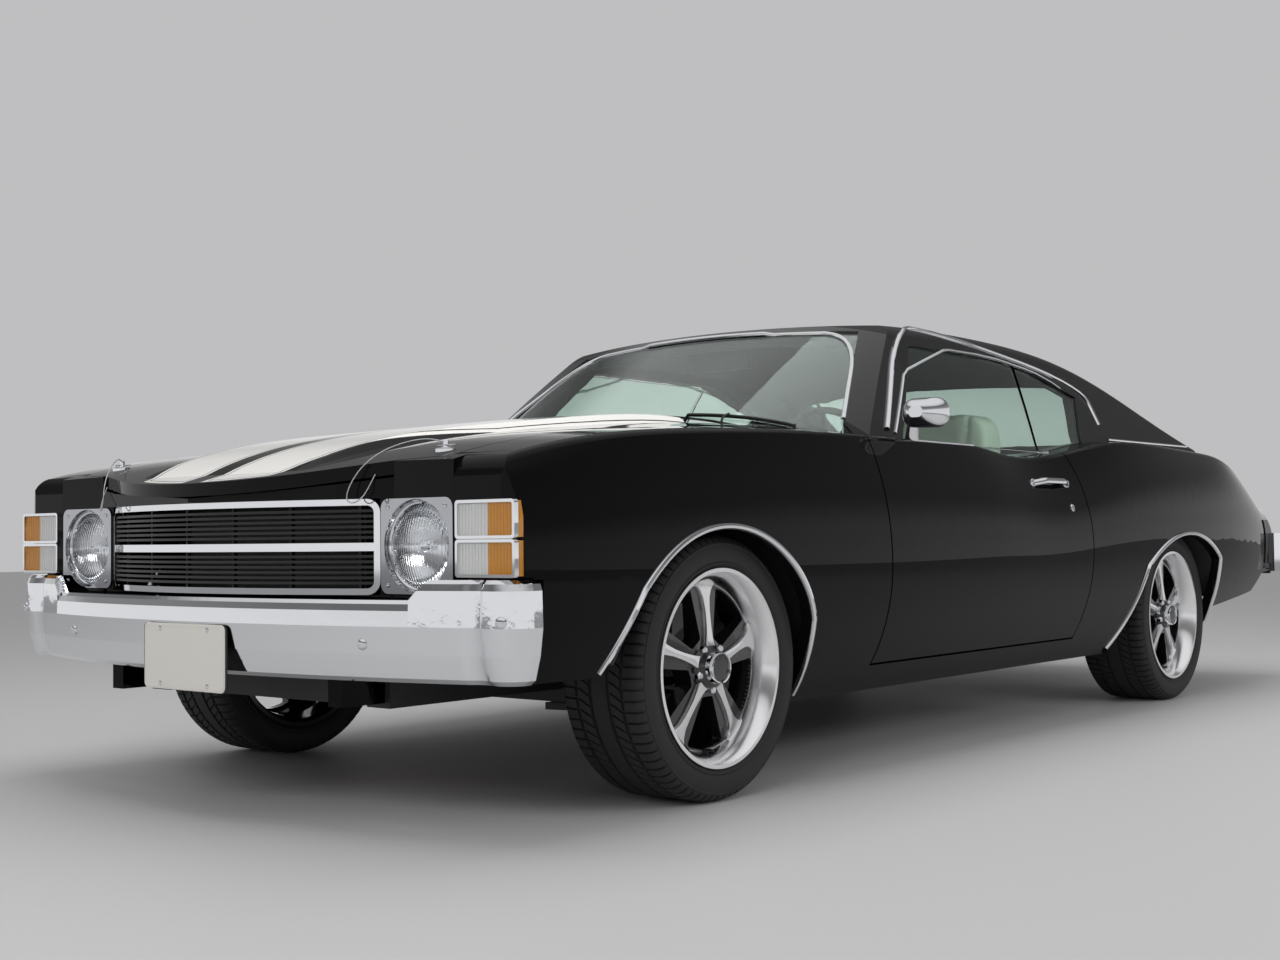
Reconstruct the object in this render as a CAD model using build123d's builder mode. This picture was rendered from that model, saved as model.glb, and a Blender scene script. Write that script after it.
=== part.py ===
from build123d import *
from math import cos, hypot, radians, sin, sqrt, tan
import os

os.makedirs("parts", exist_ok=True)

# A two-door hardtop muscle car, in millimetres.
# +X is the car's left, -Y its nose and +Z up; the origin is on the ground under the middle of the car.
# A station is a distance behind the front axle, as measured on the real car.

# Lengths along the car
FRONT_OVERHANG = 870
AXLE_TO_DOOR = 690
DOOR_LENGTH = 1295
DOOR_TO_AXLE = 860
REAR_OVERHANG = 1232
WHEELBASE = AXLE_TO_DOOR + DOOR_LENGTH + DOOR_TO_AXLE
LENGTH = FRONT_OVERHANG + WHEELBASE + REAR_OVERHANG
FRONT_AXLE_Y = FRONT_OVERHANG - LENGTH / 2
REAR_AXLE_Y = FRONT_AXLE_Y + WHEELBASE

# Widths and heights
HALF_WIDTH = 957.5
ROOF_TOP = 1308
SILL_Z = 200
SKIN = 30
SEAT_GAP = 0.3
PANEL_GAP = 5
SHOULDER_RADIUS = 22

# How a solid sits when it stands on its plane
ON_BASE = (Align.CENTER, Align.CENTER, Align.MIN)

# Stations that the section tables were measured at, for the zone behind the door's front edge
DRAWN_DOOR = 1295
DRAWN_WHEELBASE = 2845


def at(station):
    """Row-frame y of a station; the door zone stretches with the door, the tail follows the rear axle."""
    if station <= AXLE_TO_DOOR:
        return FRONT_AXLE_Y + station
    if station <= AXLE_TO_DOOR + DRAWN_DOOR:
        return FRONT_AXLE_Y + AXLE_TO_DOOR + (station - AXLE_TO_DOOR) * DOOR_LENGTH / DRAWN_DOOR
    return REAR_AXLE_Y + station - DRAWN_WHEELBASE


def upright(station):
    """Cross-section plane at a station: local x to the car's left, local y up."""
    return Plane.XZ.offset(-at(station))


def side_points(points):
    """(station, z) pairs as points of a YZ sketch."""
    return [(at(station), z) for station, z in points]


def plan_points(points):
    """(x, station) pairs as points of an XY sketch."""
    return [(x, at(station)) for x, station in points]


# Lower body sections. Insets are measured in from the half width.
# station, crown z, shoulder inset, shoulder z, widest inset, widest z, sill inset
BODY_SECTIONS = [
    (-960, 736, 112, 716, 72, 565, 150),
    (-700, 803, 88, 797, 38, 560, 145),
    (-400, 866, 80, 852, 17, 555, 142),
    (0, 912, 78, 881, 12, 552, 140),
    (400, 950, 80, 891, 12, 550, 140),
    (900, 948, 90, 891, 12, 550, 140),
    (1400, 930, 106, 886, 14, 555, 140),
    (1900, 928, 109, 878, 14, 565, 140),
    (2300, 958, 95, 932, 6, 590, 138),
    (2850, 962, 86, 938, 0, 600, 136),
    (3300, 952, 100, 926, 12, 600, 140),
    (3700, 905, 132, 862, 48, 595, 150),
    (4070, 820, 170, 728, 100, 585, 175),
]


def body_volume(inset):
    """The closed lower body, pulled in by inset all round."""
    with BuildPart() as volume:
        for station, crown_z, shoulder_in, shoulder_z, wide_in, wide_z, sill_in in BODY_SECTIONS:
            shoulder = (HALF_WIDTH - shoulder_in - inset, shoulder_z - inset)
            widest = (HALF_WIDTH - wide_in - inset, wide_z)
            sill = (HALF_WIDTH - sill_in - inset, SILL_Z + inset)
            with BuildSketch(upright(station)) as section:
                with BuildLine():
                    ThreePointArc((-shoulder[0], shoulder[1]), (0, crown_z - inset), shoulder)
                    TangentArc(widest, shoulder, tangent=(0, 1))
                    TangentArc(widest, sill, tangent=(0, -1))
                    Line(sill, (-sill[0], sill[1]))
                    TangentArc((-widest[0], widest[1]), (-sill[0], sill[1]), tangent=(0, -1))
                    TangentArc((-widest[0], widest[1]), (-shoulder[0], shoulder[1]), tangent=(0, 1))
                make_face()
                fillet(section.vertices().sort_by(Axis.Y)[-2:], SHOULDER_RADIUS)
        loft()
    return volume.part


# Greenhouse sections: roof, pillars and glass are cut from one closed volume.
# station, crown drop below the roof top, rail x, rail drop, belt x, rail radius
ROOF_SECTIONS = [
    (700, 40, 640, 62, 812, 60),
    (1150, 23, 632, 50, 812, 60),
    (1500, 3, 628, 36, 812, 60),
    (1900, 4, 632, 38, 812, 60),
    (2300, 34, 650, 66, 812, 50),
    (2550, 84, 672, 112, 812, 40),
    (2930, 214, 724, 228, 815, 24),
    (3340, 353, 787, 360, 815, 10),
]
BELT_Z = 850
# Windshield surface, as arcs in plan: z, centre station, corner station, corner x
WINDSHIELD_LOW = (860, 481, 772, 781)
WINDSHIELD_HIGH = (1340, 1243, 1305, 542)
WINDSHIELD_RUN = 1.9


def windshield_cutter(inset):
    """Everything ahead of the windshield's outer surface, moved back by inset."""
    far = 1000
    with BuildPart() as cutter:
        for z, centre, corner, corner_x in (WINDSHIELD_LOW, WINDSHIELD_HIGH):
            sagitta = corner - centre
            radius = (corner_x**2 + sagitta**2) / (2 * sagitta)
            far_station = centre + radius - sqrt(radius**2 - far**2)
            shift = inset * WINDSHIELD_RUN
            left, middle, right = (
                (x, FRONT_AXLE_Y + station + shift)
                for x, station in ((-far, far_station), (0, centre), (far, far_station))
            )
            with BuildSketch(Plane.XY.offset(z)):
                with BuildLine():
                    ThreePointArc(left, middle, right)
                    Polyline(right, (far, FRONT_AXLE_Y), (-far, FRONT_AXLE_Y), left)
                make_face()
        loft(ruled=True)
    return cutter.part


def roof_volume(inset):
    """The closed greenhouse, pulled in by inset, with the windshield surface cut."""
    with BuildPart() as volume:
        for station, crown_drop, rail_x, rail_drop, belt_x, radius in ROOF_SECTIONS:
            rail = (rail_x - inset, ROOF_TOP - rail_drop - inset)
            belt = (belt_x - inset, BELT_Z)
            bow = ((rail[0] + belt[0]) / 2 + 6, (rail[1] + belt[1]) / 2)
            with BuildSketch(upright(station)) as section:
                with BuildLine():
                    ThreePointArc((-rail[0], rail[1]), (0, ROOF_TOP - crown_drop - inset), rail)
                    ThreePointArc(rail, bow, belt)
                    Line(belt, (-belt[0], belt[1]))
                    ThreePointArc((-belt[0], belt[1]), (-bow[0], bow[1]), (-rail[0], rail[1]))
                make_face()
                fillet(section.vertices().sort_by(Axis.Y)[-2:], radius)
        loft()
        add(windshield_cutter(inset), mode=Mode.SUBTRACT)
    return volume.part



outer = body_volume(0)
inner = body_volume(SKIN)
core = body_volume(SKIN + 0.5)
grown = body_volume(-SEAT_GAP)

with BuildPart() as skin:
    add(outer)
    add(inner, mode=Mode.SUBTRACT)


def side_prism(points, low_x, high_x, mode=Mode.ADD):
    """Prism of a side-view outline, given as (station, z) points, between two x values."""
    with BuildSketch(Plane.YZ.offset(low_x)) as outline:
        with BuildLine():
            Polyline(*side_points(points), close=True)
        make_face()
    extrude(outline.sketch, amount=high_x - low_x, mode=mode)


def plan_prism(points, low_z, high_z, mode=Mode.ADD):
    """Prism of a plan outline, given as (x, station) points, between two heights."""
    with BuildSketch(Plane.XY.offset(low_z)) as outline:
        with BuildLine():
            Polyline(*plan_points(points), close=True)
        make_face()
    extrude(outline.sketch, amount=high_z - low_z, mode=mode)


def block(low, high, mode=Mode.ADD):
    """Box between two corners, each given as (x, station, z)."""
    low_y, high_y = at(low[1]), at(high[1])
    size = (high[0] - low[0], high_y - low_y, high[2] - low[2])
    centre = ((high[0] + low[0]) / 2, (high_y + low_y) / 2, (high[2] + low[2]) / 2)
    with Locations(centre):
        Box(*size, mode=mode)


def save(builder, name):
    """Labels a finished piece and writes its STEP file."""
    builder.part.label = name
    export_step(builder.part, f"parts/{name}.step")


def save_pair(left, name):
    """Writes a left-hand piece and its mirror image."""
    save(left, name + "_left")
    with BuildPart() as right:
        mirror(left.part, about=Plane.YZ)
    save(right, name + "_right")


# Shut lines of the hood in plan, left half: x, station
HOOD_REAR_CENTRE = 600
HOOD_REAR_CORNER = (690, 728)
HOOD_FRONT = [(690, -690), (560, -716), (418, -774)]
HOOD_TIP = 860
HOOD_REAR_GAP = 9
NOSE_SPLIT_X = 735
NOSE_PLANE = -727
WALL_X = 745


def hood_outline(grow):
    """Plan outline of the hood, widened by grow, as a sketch on the ground plane."""
    rear_x, rear_station = HOOD_REAR_CORNER
    front = [(x + grow, station - grow) for x, station in HOOD_FRONT]
    left = plan_points([(rear_x + grow, rear_station + grow)] + front)
    right = [(-x, y) for x, y in left]
    with BuildSketch() as outline:
        with BuildLine():
            Polyline(*left)
            ThreePointArc(left[-1], (0, FRONT_AXLE_Y - HOOD_TIP - grow), right[-1])
            Polyline(*right)
            ThreePointArc(left[0], (0, FRONT_AXLE_Y + HOOD_REAR_CENTRE + grow), right[0])
        make_face()
    return outline.sketch


# Hood with its raised cowl section
# station, height of the raised section above the hood skin
COWL_BULGE = [(-810, -8), (-640, 18), (-300, 23), (150, 26), (610, 26)]
BULGE_FOOT_X = 345
BULGE_TOP_X = 292


def crown_at(station):
    """Crown height, shoulder x and shoulder z of the lower body at a station, between table rows."""
    rows = [(s, z, HALF_WIDTH - inset, shoulder_z) for s, z, inset, shoulder_z, *_ in BODY_SECTIONS]
    for before, after in zip(rows, rows[1:]):
        if before[0] <= station <= after[0]:
            share = (station - before[0]) / (after[0] - before[0])
            return [a + (b - a) * share for a, b in zip(before[1:], after[1:])]


def skin_z(x, station):
    """Height of the body's top surface, near enough for what stands on it."""
    crown_z, shoulder_x, shoulder_z = crown_at(station)
    return crown_z - (crown_z - shoulder_z) * (x / shoulder_x) ** 2


with BuildPart() as bulge:
    for station, height in COWL_BULGE:
        foot_z = skin_z(BULGE_FOOT_X, station) - 12
        top_z = skin_z(BULGE_TOP_X, station) + height
        with BuildSketch(upright(station)) as section:
            with BuildLine():
                ThreePointArc(
                    (-BULGE_TOP_X, top_z), (0, skin_z(0, station) + height), (BULGE_TOP_X, top_z)
                )
                Polyline(
                    (BULGE_TOP_X, top_z),
                    (BULGE_FOOT_X, foot_z),
                    (-BULGE_FOOT_X, foot_z),
                    (-BULGE_TOP_X, top_z),
                )
            make_face()
            fillet(section.vertices().sort_by(Axis.Y)[-2:], 14)
    loft()

with BuildPart() as hood:
    add(skin.part)
    add(bulge.part)
    extrude(hood_outline(0), amount=1200, mode=Mode.INTERSECT)
    block((-HALF_WIDTH, -1000, 0), (HALF_WIDTH, 900, 600), mode=Mode.SUBTRACT)
save(hood, "hood")

with BuildPart() as hood_slot:
    extrude(hood_outline(PANEL_GAP), amount=1200)
    add(body_volume(SKIN + PANEL_GAP), mode=Mode.SUBTRACT)

# Front end: bowed grille opening, header and lamp pockets
GRILLE_HALF = 505
GRILLE_TIP = -828
GRILLE_LOW, GRILLE_HIGH = 505, 713
HEADER_LOW = GRILLE_HIGH + 1
NOSE_LOW = 440
NOSE_BACK = -690
HEADLAMP_X, HEADLAMP_Z = 621, 610
HEADLAMP_RADIUS = 90
BEZEL_WIDTH, BEZEL_HEIGHT = 220, 204
BEZEL_DEPTH = 22
BEZEL_DISH = 100
# Corner lamps on each fender: middle z, height
CORNER_LAMPS = [(664, 74), (584, 72)]
CORNER_LAMP_X = 831
CORNER_LAMP_WIDTH = 163
CORNER_LAMP_DEPTH = 22
LAMP_PROUD = 4


def nose_outline(low_x, high_x, back):
    """Plan outline of the nose between two x values, back to a station."""
    if low_x < NOSE_SPLIT_X:
        front = [(0, -HOOD_TIP), (418, -776), (550, NOSE_PLANE), (high_x, NOSE_PLANE - 3)]
        front = [(-x, station) for x, station in front[:0:-1]] + front
        return front + [(high_x, back), (-high_x, back)]
    front = [(low_x, NOSE_PLANE - 3), (870, NOSE_PLANE - 3), (high_x, NOSE_PLANE + 25)]
    return front + [(high_x, back), (low_x, back)]


def grille_bow(behind, half):
    """Points of the grille's bowed front face in plan, moved back by behind: left end, middle, right end."""
    bow = NOSE_PLANE - GRILLE_TIP
    radius = (GRILLE_HALF**2 + bow**2) / (2 * bow)
    ends = at(GRILLE_TIP + behind) + radius - sqrt(radius**2 - half**2)
    return (half, ends), (0, at(GRILLE_TIP + behind)), (-half, ends)


def behind_grille_face(front, back):
    """Upright block wider than the grille between two depths behind its bowed front face."""
    left, middle, right = grille_bow(front, GRILLE_HALF + 15)
    far_left, far_middle, far_right = grille_bow(back, GRILLE_HALF + 15)
    with BuildPart() as band:
        with BuildSketch():
            with BuildLine():
                ThreePointArc(left, middle, right)
                ThreePointArc(far_left, far_middle, far_right)
                Line(left, far_left)
                Line(right, far_right)
            make_face()
        extrude(amount=1000)
    return band.part


with BuildPart() as header_room:
    with BuildSketch(Plane.XY.offset(400)):
        with BuildLine():
            ThreePointArc(*grille_bow(0, GRILLE_HALF))
            Polyline((-GRILLE_HALF, at(NOSE_PLANE)), (-540, at(NOSE_PLANE)), (-540, at(-1000)))
            Polyline((-540, at(-1000)), (540, at(-1000)), (540, at(NOSE_PLANE)))
            Line((540, at(NOSE_PLANE)), (GRILLE_HALF, at(NOSE_PLANE)))
        make_face()
    extrude(amount=HEADER_LOW - 400)

with BuildPart() as nose_panel:
    add(outer)
    nose = nose_outline(0, NOSE_SPLIT_X - SEAT_GAP, NOSE_BACK)
    plan_prism(nose, NOSE_LOW, 1000, mode=Mode.INTERSECT)
    add(hood_slot.part, mode=Mode.SUBTRACT)
    add(header_room.part, mode=Mode.SUBTRACT)
    block((-540, -1000, 400), (540, NOSE_PLANE, GRILLE_LOW - SEAT_GAP), mode=Mode.SUBTRACT)
    block(
        (-GRILLE_HALF - SEAT_GAP, -900, GRILLE_LOW - SEAT_GAP),
        (GRILLE_HALF + SEAT_GAP, -600, GRILLE_HIGH + SEAT_GAP),
        mode=Mode.SUBTRACT,
    )
    for side in (-1, 1):
        pocket = Plane.XZ.offset(-at(NOSE_PLANE - 4))
        with BuildSketch(pocket):
            with Locations((side * HEADLAMP_X, HEADLAMP_Z)):
                RectangleRounded(BEZEL_WIDTH + 2 * SEAT_GAP, BEZEL_HEIGHT + 2 * SEAT_GAP, 22)
        extrude(amount=-BEZEL_DEPTH - 4, mode=Mode.SUBTRACT)
        with BuildSketch(pocket):
            with Locations((side * HEADLAMP_X, HEADLAMP_Z)):
                Circle(HEADLAMP_RADIUS + 4)
        extrude(amount=-60, mode=Mode.SUBTRACT)
save(nose_panel, "nose_panel")

# Wheels and their arches
TYRE_RADIUS = 314
TYRE_WIDTH = 245
TUCK_FRONT = 70
TUCK_REAR = 75
FRONT_WHEEL_X = HALF_WIDTH - TUCK_FRONT - TYRE_WIDTH / 2
REAR_WHEEL_X = HALF_WIDTH - TUCK_REAR - TYRE_WIDTH / 2
DRAWN_TYRE = 314


def arch_points(points, axle_station):
    """Arch outline points, moved outward from the wheel centre with the tyre's size."""
    scale = TYRE_RADIUS / DRAWN_TYRE
    return [
        (at(axle_station) + (station - axle_station) * scale, TYRE_RADIUS + (z - DRAWN_TYRE) * scale)
        for station, z in points
    ]


# Front arch: lower front, start of the round, top, end of the round, lower rear
FRONT_ARCH = [(-520, 220), (-352, 505), (-10, 638), (318, 415), (357, 190)]
# Rear arch: lower front, start of the round, top, end of the round, lower rear
REAR_ARCH = [(2325, 190), (2450, 500), (2800, 608), (3150, 515), (3185, 190)]


def cut_arch(points, axle_station, grow=0):
    """Cuts a wheel arch right through the side."""
    low_front, start, top, end, low_rear = arch_points(points, axle_station)
    with BuildSketch(Plane.YZ.offset(600)) as arch:
        with BuildLine():
            Line(low_front, start)
            ThreePointArc(start, top, end)
            Line(end, low_rear)
            Polyline(low_rear, (low_rear[0], 0), (low_front[0], 0), low_front)
        make_face()
        if grow:
            offset(amount=grow, kind=Kind.INTERSECTION)
    extrude(arch.sketch, amount=500, mode=Mode.SUBTRACT)


FENDER_END = AXLE_TO_DOOR - 6
FENDER_LOW = 325
BUMPER_NOTCH_Z = 545

# Rounded leading edge of the fenders, seen from the side: front face station, radius
NOSE_FACE = NOSE_PLANE - 4
NOSE_ROUND = 62
NOSE_ROUND_Z = 743

with BuildPart() as fender_cap:
    add(outer)
    plan_prism(nose_outline(NOSE_SPLIT_X, 930, -700), 300, 1000, mode=Mode.INTERSECT)

with BuildPart() as front_fender:
    add(outer)
    add(inner, mode=Mode.SUBTRACT)
    fender_plan = [(695, -690), (NOSE_SPLIT_X, -690), (NOSE_SPLIT_X, -760), (870, -760), (960, -720)]
    fender_plan += [(960, FENDER_END), (695, FENDER_END)]
    plan_prism(fender_plan, 0, 1000, mode=Mode.INTERSECT)
    add(fender_cap.part)
    plan_prism(
        [(600, NOSE_PLANE - 3), (870, NOSE_PLANE - 3), (930, NOSE_PLANE + 25), (1000, NOSE_PLANE + 60)]
        + [(1000, -1000), (600, -1000)],
        0,
        1000,
        mode=Mode.SUBTRACT,
    )
    with BuildSketch(Plane.YZ.offset(600)) as leading_edge:
        front, back = at(NOSE_FACE), at(NOSE_FACE + NOSE_ROUND)
        with BuildLine():
            JernArc((front, NOSE_ROUND_Z), (0, 1), NOSE_ROUND, -90)
            Polyline((back, NOSE_ROUND_Z + NOSE_ROUND), (back, 1000), (front - 50, 1000))
            Polyline((front - 50, 1000), (front - 50, NOSE_ROUND_Z))
            Line((front - 50, NOSE_ROUND_Z), (front, NOSE_ROUND_Z))
        make_face()
    extrude(leading_edge.sketch, amount=400, mode=Mode.SUBTRACT)
    add(hood_slot.part, mode=Mode.SUBTRACT)
    block((500, -1000, 0), (1000, -380, FENDER_LOW), mode=Mode.SUBTRACT)
    block((500, -1000, 300), (1000, -662, BUMPER_NOTCH_Z), mode=Mode.SUBTRACT)
    cut_arch(FRONT_ARCH, 0)
    block((600, -380, 0), (WALL_X - 5, FENDER_END + 1, 700), mode=Mode.SUBTRACT)
    for lamp_z, lamp_height in CORNER_LAMPS:
        with BuildSketch(Plane.XZ.offset(-at(NOSE_PLANE - 4))) as pocket:
            with Locations((CORNER_LAMP_X, lamp_z)):
                Rectangle(CORNER_LAMP_WIDTH + 2 * SEAT_GAP, lamp_height + 2 * SEAT_GAP)
        extrude(pocket.sketch, amount=-CORNER_LAMP_DEPTH - 1, mode=Mode.SUBTRACT)
save_pair(front_fender, "front_fender")

# Doors: shut lines, hinge axis and thickness
DOOR_FRONT = AXLE_TO_DOOR
DOOR_REAR = AXLE_TO_DOOR + DRAWN_DOOR
DOOR_INNER_X = 778
DOOR_BOTTOM = 278
DOOR_REAR_LEAN = 26
HINGE_X = 905
HINGE_STATION = 645
HINGE_CLEARANCE = 2.6
GLASS_FRONT = 972
PILLAR_FOOT_X = 803
PILLAR_FOOT_Z = 760


def door_outline(grow):
    """Plan outline of the left door, widened by grow."""
    y_front = at(DOOR_FRONT) - grow
    y_rear = at(DOOR_REAR) + grow
    inner = DOOR_INNER_X - grow
    with BuildSketch() as outline:
        with BuildLine():
            Polyline(
                (inner, y_front),
                (1050, y_front),
                (1050, y_rear),
                (HALF_WIDTH - 10, y_rear),
                (inner, y_rear - DOOR_REAR_LEAN),
                close=True,
            )
        make_face()
    return outline.sketch


def side_x(z):
    """Half width of the body side at the door's front edge, between sill and shoulder."""
    _, _, shoulder_in, _, wide_in, wide_z, sill_in = BODY_SECTIONS[4]
    shoulder_z = 891
    widest = HALF_WIDTH - wide_in
    drop, run = (shoulder_z - wide_z, shoulder_in - wide_in)
    if z < wide_z:
        drop, run = (wide_z - SILL_Z, sill_in - wide_in)
    radius = (drop**2 + run**2) / (2 * run)
    return widest - radius + sqrt(radius**2 - (z - wide_z) ** 2)


# What the fender's rear edge sweeps as the door turns, seen from the door
with BuildPart() as hinge_scoop:
    heights = [180, 278, 360, 450, 550, 650, 750, 840, 891]
    reach = [(hypot(side_x(z) - HINGE_X, HINGE_STATION - FENDER_END) + HINGE_CLEARANCE, z) for z in heights]
    hinge_plane = Plane(origin=(HINGE_X, at(HINGE_STATION), 0), x_dir=(1, 0, 0), z_dir=(0, -1, 0))
    with BuildSketch(hinge_plane) as scoop:
        with BuildLine():
            Polyline((0, heights[0]), *reach, (reach[-1][0], 1000), (0, 1000), close=True)
        make_face()
    revolve(scoop.sketch, axis=Axis((HINGE_X, at(HINGE_STATION), 0), (0, 0, 1)))

with BuildPart() as door:
    add(outer)
    extrude(door_outline(0), amount=1200, mode=Mode.INTERSECT)
    add(hinge_scoop.part, mode=Mode.SUBTRACT)
    block((600, 500, 0), (1050, 2200, DOOR_BOTTOM), mode=Mode.SUBTRACT)
    block((600, 600, PILLAR_FOOT_Z), (PILLAR_FOOT_X + PANEL_GAP, GLASS_FRONT, 1100), mode=Mode.SUBTRACT)
    # Latch slot, open towards the cabin
    latch = (700, DOOR_REAR - DOOR_REAR_LEAN - 26, 600 - 7)
    block(latch, (812, DOOR_REAR + 10, 600 + 7), mode=Mode.SUBTRACT)
save_pair(door, "door")

# Body side: hinge post, rocker, lock post and rear quarter in one piece
POST_FRONT = 640
LOCK_POST_END = 2075
DECK_SPLIT_X = 655
TAIL_STATION = 4040
REAR_LOW = 330
SHELF_START = 2700
DECK_START = 3300
LID_FRONT = 3400

with BuildPart() as quarter:
    add(skin.part)
    quarter_plan = [(DECK_SPLIT_X, LOCK_POST_END - 10), (1050, LOCK_POST_END - 10)]
    quarter_plan += [(1050, TAIL_STATION), (DECK_SPLIT_X, TAIL_STATION)]
    plan_prism(quarter_plan, 0, 1100, mode=Mode.INTERSECT)
    block((600, 2000, 0), (WALL_X, DECK_START, 1100), mode=Mode.SUBTRACT)
    block((600, 2000, 0), (WALL_X, 5000, 700), mode=Mode.SUBTRACT)

with BuildPart() as posts:
    add(outer)
    block((WALL_X, FENDER_END + SEAT_GAP, 0), (1050, LOCK_POST_END, 1100), mode=Mode.INTERSECT)

with BuildPart() as hinge_post:
    add(core)
    block((WALL_X, POST_FRONT, 0), (1050, FENDER_END + 4, 1100), mode=Mode.INTERSECT)

with BuildPart() as door_space:
    extrude(door_outline(6), amount=1200)
    block((600, 500, 0), (1050, 2200, DOOR_BOTTOM - 6), mode=Mode.SUBTRACT)
    block((600, 600, PILLAR_FOOT_Z + 6), (PILLAR_FOOT_X, GLASS_FRONT - 6, 1100), mode=Mode.SUBTRACT)

with BuildPart() as body_side:
    add(posts.part)
    add(hinge_post.part)
    add(quarter.part)
    add(door_space.part, mode=Mode.SUBTRACT)
    cut_arch(REAR_ARCH, DRAWN_WHEELBASE)
    tail_low = [(3185, 0), (3185, REAR_LOW), (3690, 375), (3835, 447), (4200, 460), (4200, 0)]
    side_prism(tail_low, 500, 1100, mode=Mode.SUBTRACT)
    block((600, LOCK_POST_END, 0), (WALL_X + 10, 3186, 330), mode=Mode.SUBTRACT)
    # Striker bolt
    striker_y = at(DOOR_REAR - DOOR_REAR_LEAN)
    with BuildSketch(Plane.XZ.offset(-striker_y + 18)) as striker:
        with Locations((798, 600)):
            Circle(7 - SEAT_GAP)
    extrude(striker.sketch, amount=-45)
save_pair(body_side, "body_side")

# Trunk lid and tail: shut lines of the lid
LID_HALF = 650
LID_LIP_Z = 722
TAIL_PANEL_LOW = 440
CABIN_HALF = 735

with BuildPart() as tail_hollow:
    add(inner)
    block((-1050, 2000, 0), (1050, TAIL_STATION - SKIN, 1100), mode=Mode.INTERSECT)

with BuildPart() as tail_skin:
    add(outer)
    block((-1050, LID_FRONT - 200, 400), (1050, TAIL_STATION, 1100), mode=Mode.INTERSECT)
    add(tail_hollow.part, mode=Mode.SUBTRACT)

with BuildPart() as trunk_lid:
    add(tail_skin.part)
    block((-LID_HALF, LID_FRONT, LID_LIP_Z), (LID_HALF, 4100, 1100), mode=Mode.INTERSECT)
save(trunk_lid, "trunk_lid")

with BuildPart() as tail_panel:
    add(tail_skin.part)
    block((-1050, TAIL_STATION - SKIN + 0.1, TAIL_PANEL_LOW), (1050, TAIL_STATION, 1100), mode=Mode.INTERSECT)
    lid_reach = LID_HALF + PANEL_GAP
    block((-lid_reach, 4000, LID_LIP_Z - PANEL_GAP), (lid_reach, 4100, 1100), mode=Mode.SUBTRACT)
    add(body_side.part, mode=Mode.SUBTRACT)
    mirror(body_side.part, about=Plane.YZ, mode=Mode.SUBTRACT)

with BuildPart() as rear_deck:
    add(skin.part)
    deck_plan = [(CABIN_HALF, SHELF_START), (CABIN_HALF, DECK_START), (DECK_SPLIT_X - SEAT_GAP, DECK_START)]
    deck_plan += [(DECK_SPLIT_X - SEAT_GAP, LID_FRONT - PANEL_GAP)]
    deck_plan = deck_plan + [(-x, station) for x, station in deck_plan[::-1]]
    plan_prism(deck_plan, 600, 1100, mode=Mode.INTERSECT)
save(rear_deck, "rear_deck")

with BuildPart() as cowl:
    add(skin.part)
    cowl_plan = [(WALL_X - SEAT_GAP, FENDER_END + SEAT_GAP), (WALL_X - SEAT_GAP, 835), (640, 760)]
    cowl_plan += [(400, 755), (-400, 755)]
    cowl_plan += [(-640, 760), (-WALL_X + SEAT_GAP, 835), (-WALL_X + SEAT_GAP, FENDER_END + SEAT_GAP)]
    cowl_plan += [(-694, FENDER_END + SEAT_GAP), (-694, 500), (694, 500), (694, FENDER_END + SEAT_GAP)]
    plan_prism(cowl_plan, 600, 1100, mode=Mode.INTERSECT)
    add(hood_slot.part, mode=Mode.SUBTRACT)
    extrude(hood_outline(HOOD_REAR_GAP), amount=1200, mode=Mode.SUBTRACT)
save(cowl, "cowl")

# Greenhouse
ROOF_THICKNESS = 40
GLASS_OUT, GLASS_IN = 5, 11
roof_outer = roof_volume(0)
roof_inner = roof_volume(ROOF_THICKNESS)
with BuildPart() as glass_shell:
    add(roof_volume(GLASS_OUT))
    add(roof_volume(GLASS_IN), mode=Mode.SUBTRACT)
    add(grown, mode=Mode.SUBTRACT)

# Window outlines. Windshield and rear window in plan, half: x, station
WINDSHIELD_EDGE = [(552, 1178), (716, 812), (716, 420)]
WINDSHIELD_TOP = 1128
REAR_WINDOW_EDGE = [(560, 2560), (706, 3285)]
REAR_WINDOW_TOP = 2535
# Side opening from the side: station, z
SIDE_OPENING = [(965, 840), (1292, 1206), (1983, 1206), (2385, 1107), (2290, 966), (2250, 840)]
# Division between door glass and quarter glass
DIVISION_LOW, DIVISION_HIGH = (1903, 880), (1990, 1206)
DIVISION_HALF = 6
QUARTER_GLASS_LOW = 896


def windshield_sketch(inset):
    """Plan outline of the windshield, pulled in by inset."""
    right = plan_points([(x - inset, station - inset) for x, station in WINDSHIELD_EDGE])
    left = [(-x, y) for x, y in right]
    with BuildSketch() as outline:
        with BuildLine():
            Polyline(*right)
            Polyline(*left)
            Line(right[-1], left[-1])
            ThreePointArc(right[0], (0, FRONT_AXLE_Y + at(WINDSHIELD_TOP - inset) - at(0)), left[0])
        make_face()
    return outline.sketch


def rear_window_sketch(inset):
    """Plan outline of the rear window, pulled in by inset."""
    right = plan_points([(x - inset, station) for x, station in REAR_WINDOW_EDGE])
    left = [(-x, y) for x, y in right]
    with BuildSketch() as outline:
        with BuildLine():
            Line((right[0][0], right[0][1] + inset), right[1])
            Line(left[1], (left[0][0], left[0][1] + inset))
            Line(right[1], left[1])
            ThreePointArc(
                (right[0][0], right[0][1] + inset),
                (0, at(REAR_WINDOW_TOP) + inset),
                (left[0][0], left[0][1] + inset),
            )
        make_face()
    return outline.sketch


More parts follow.
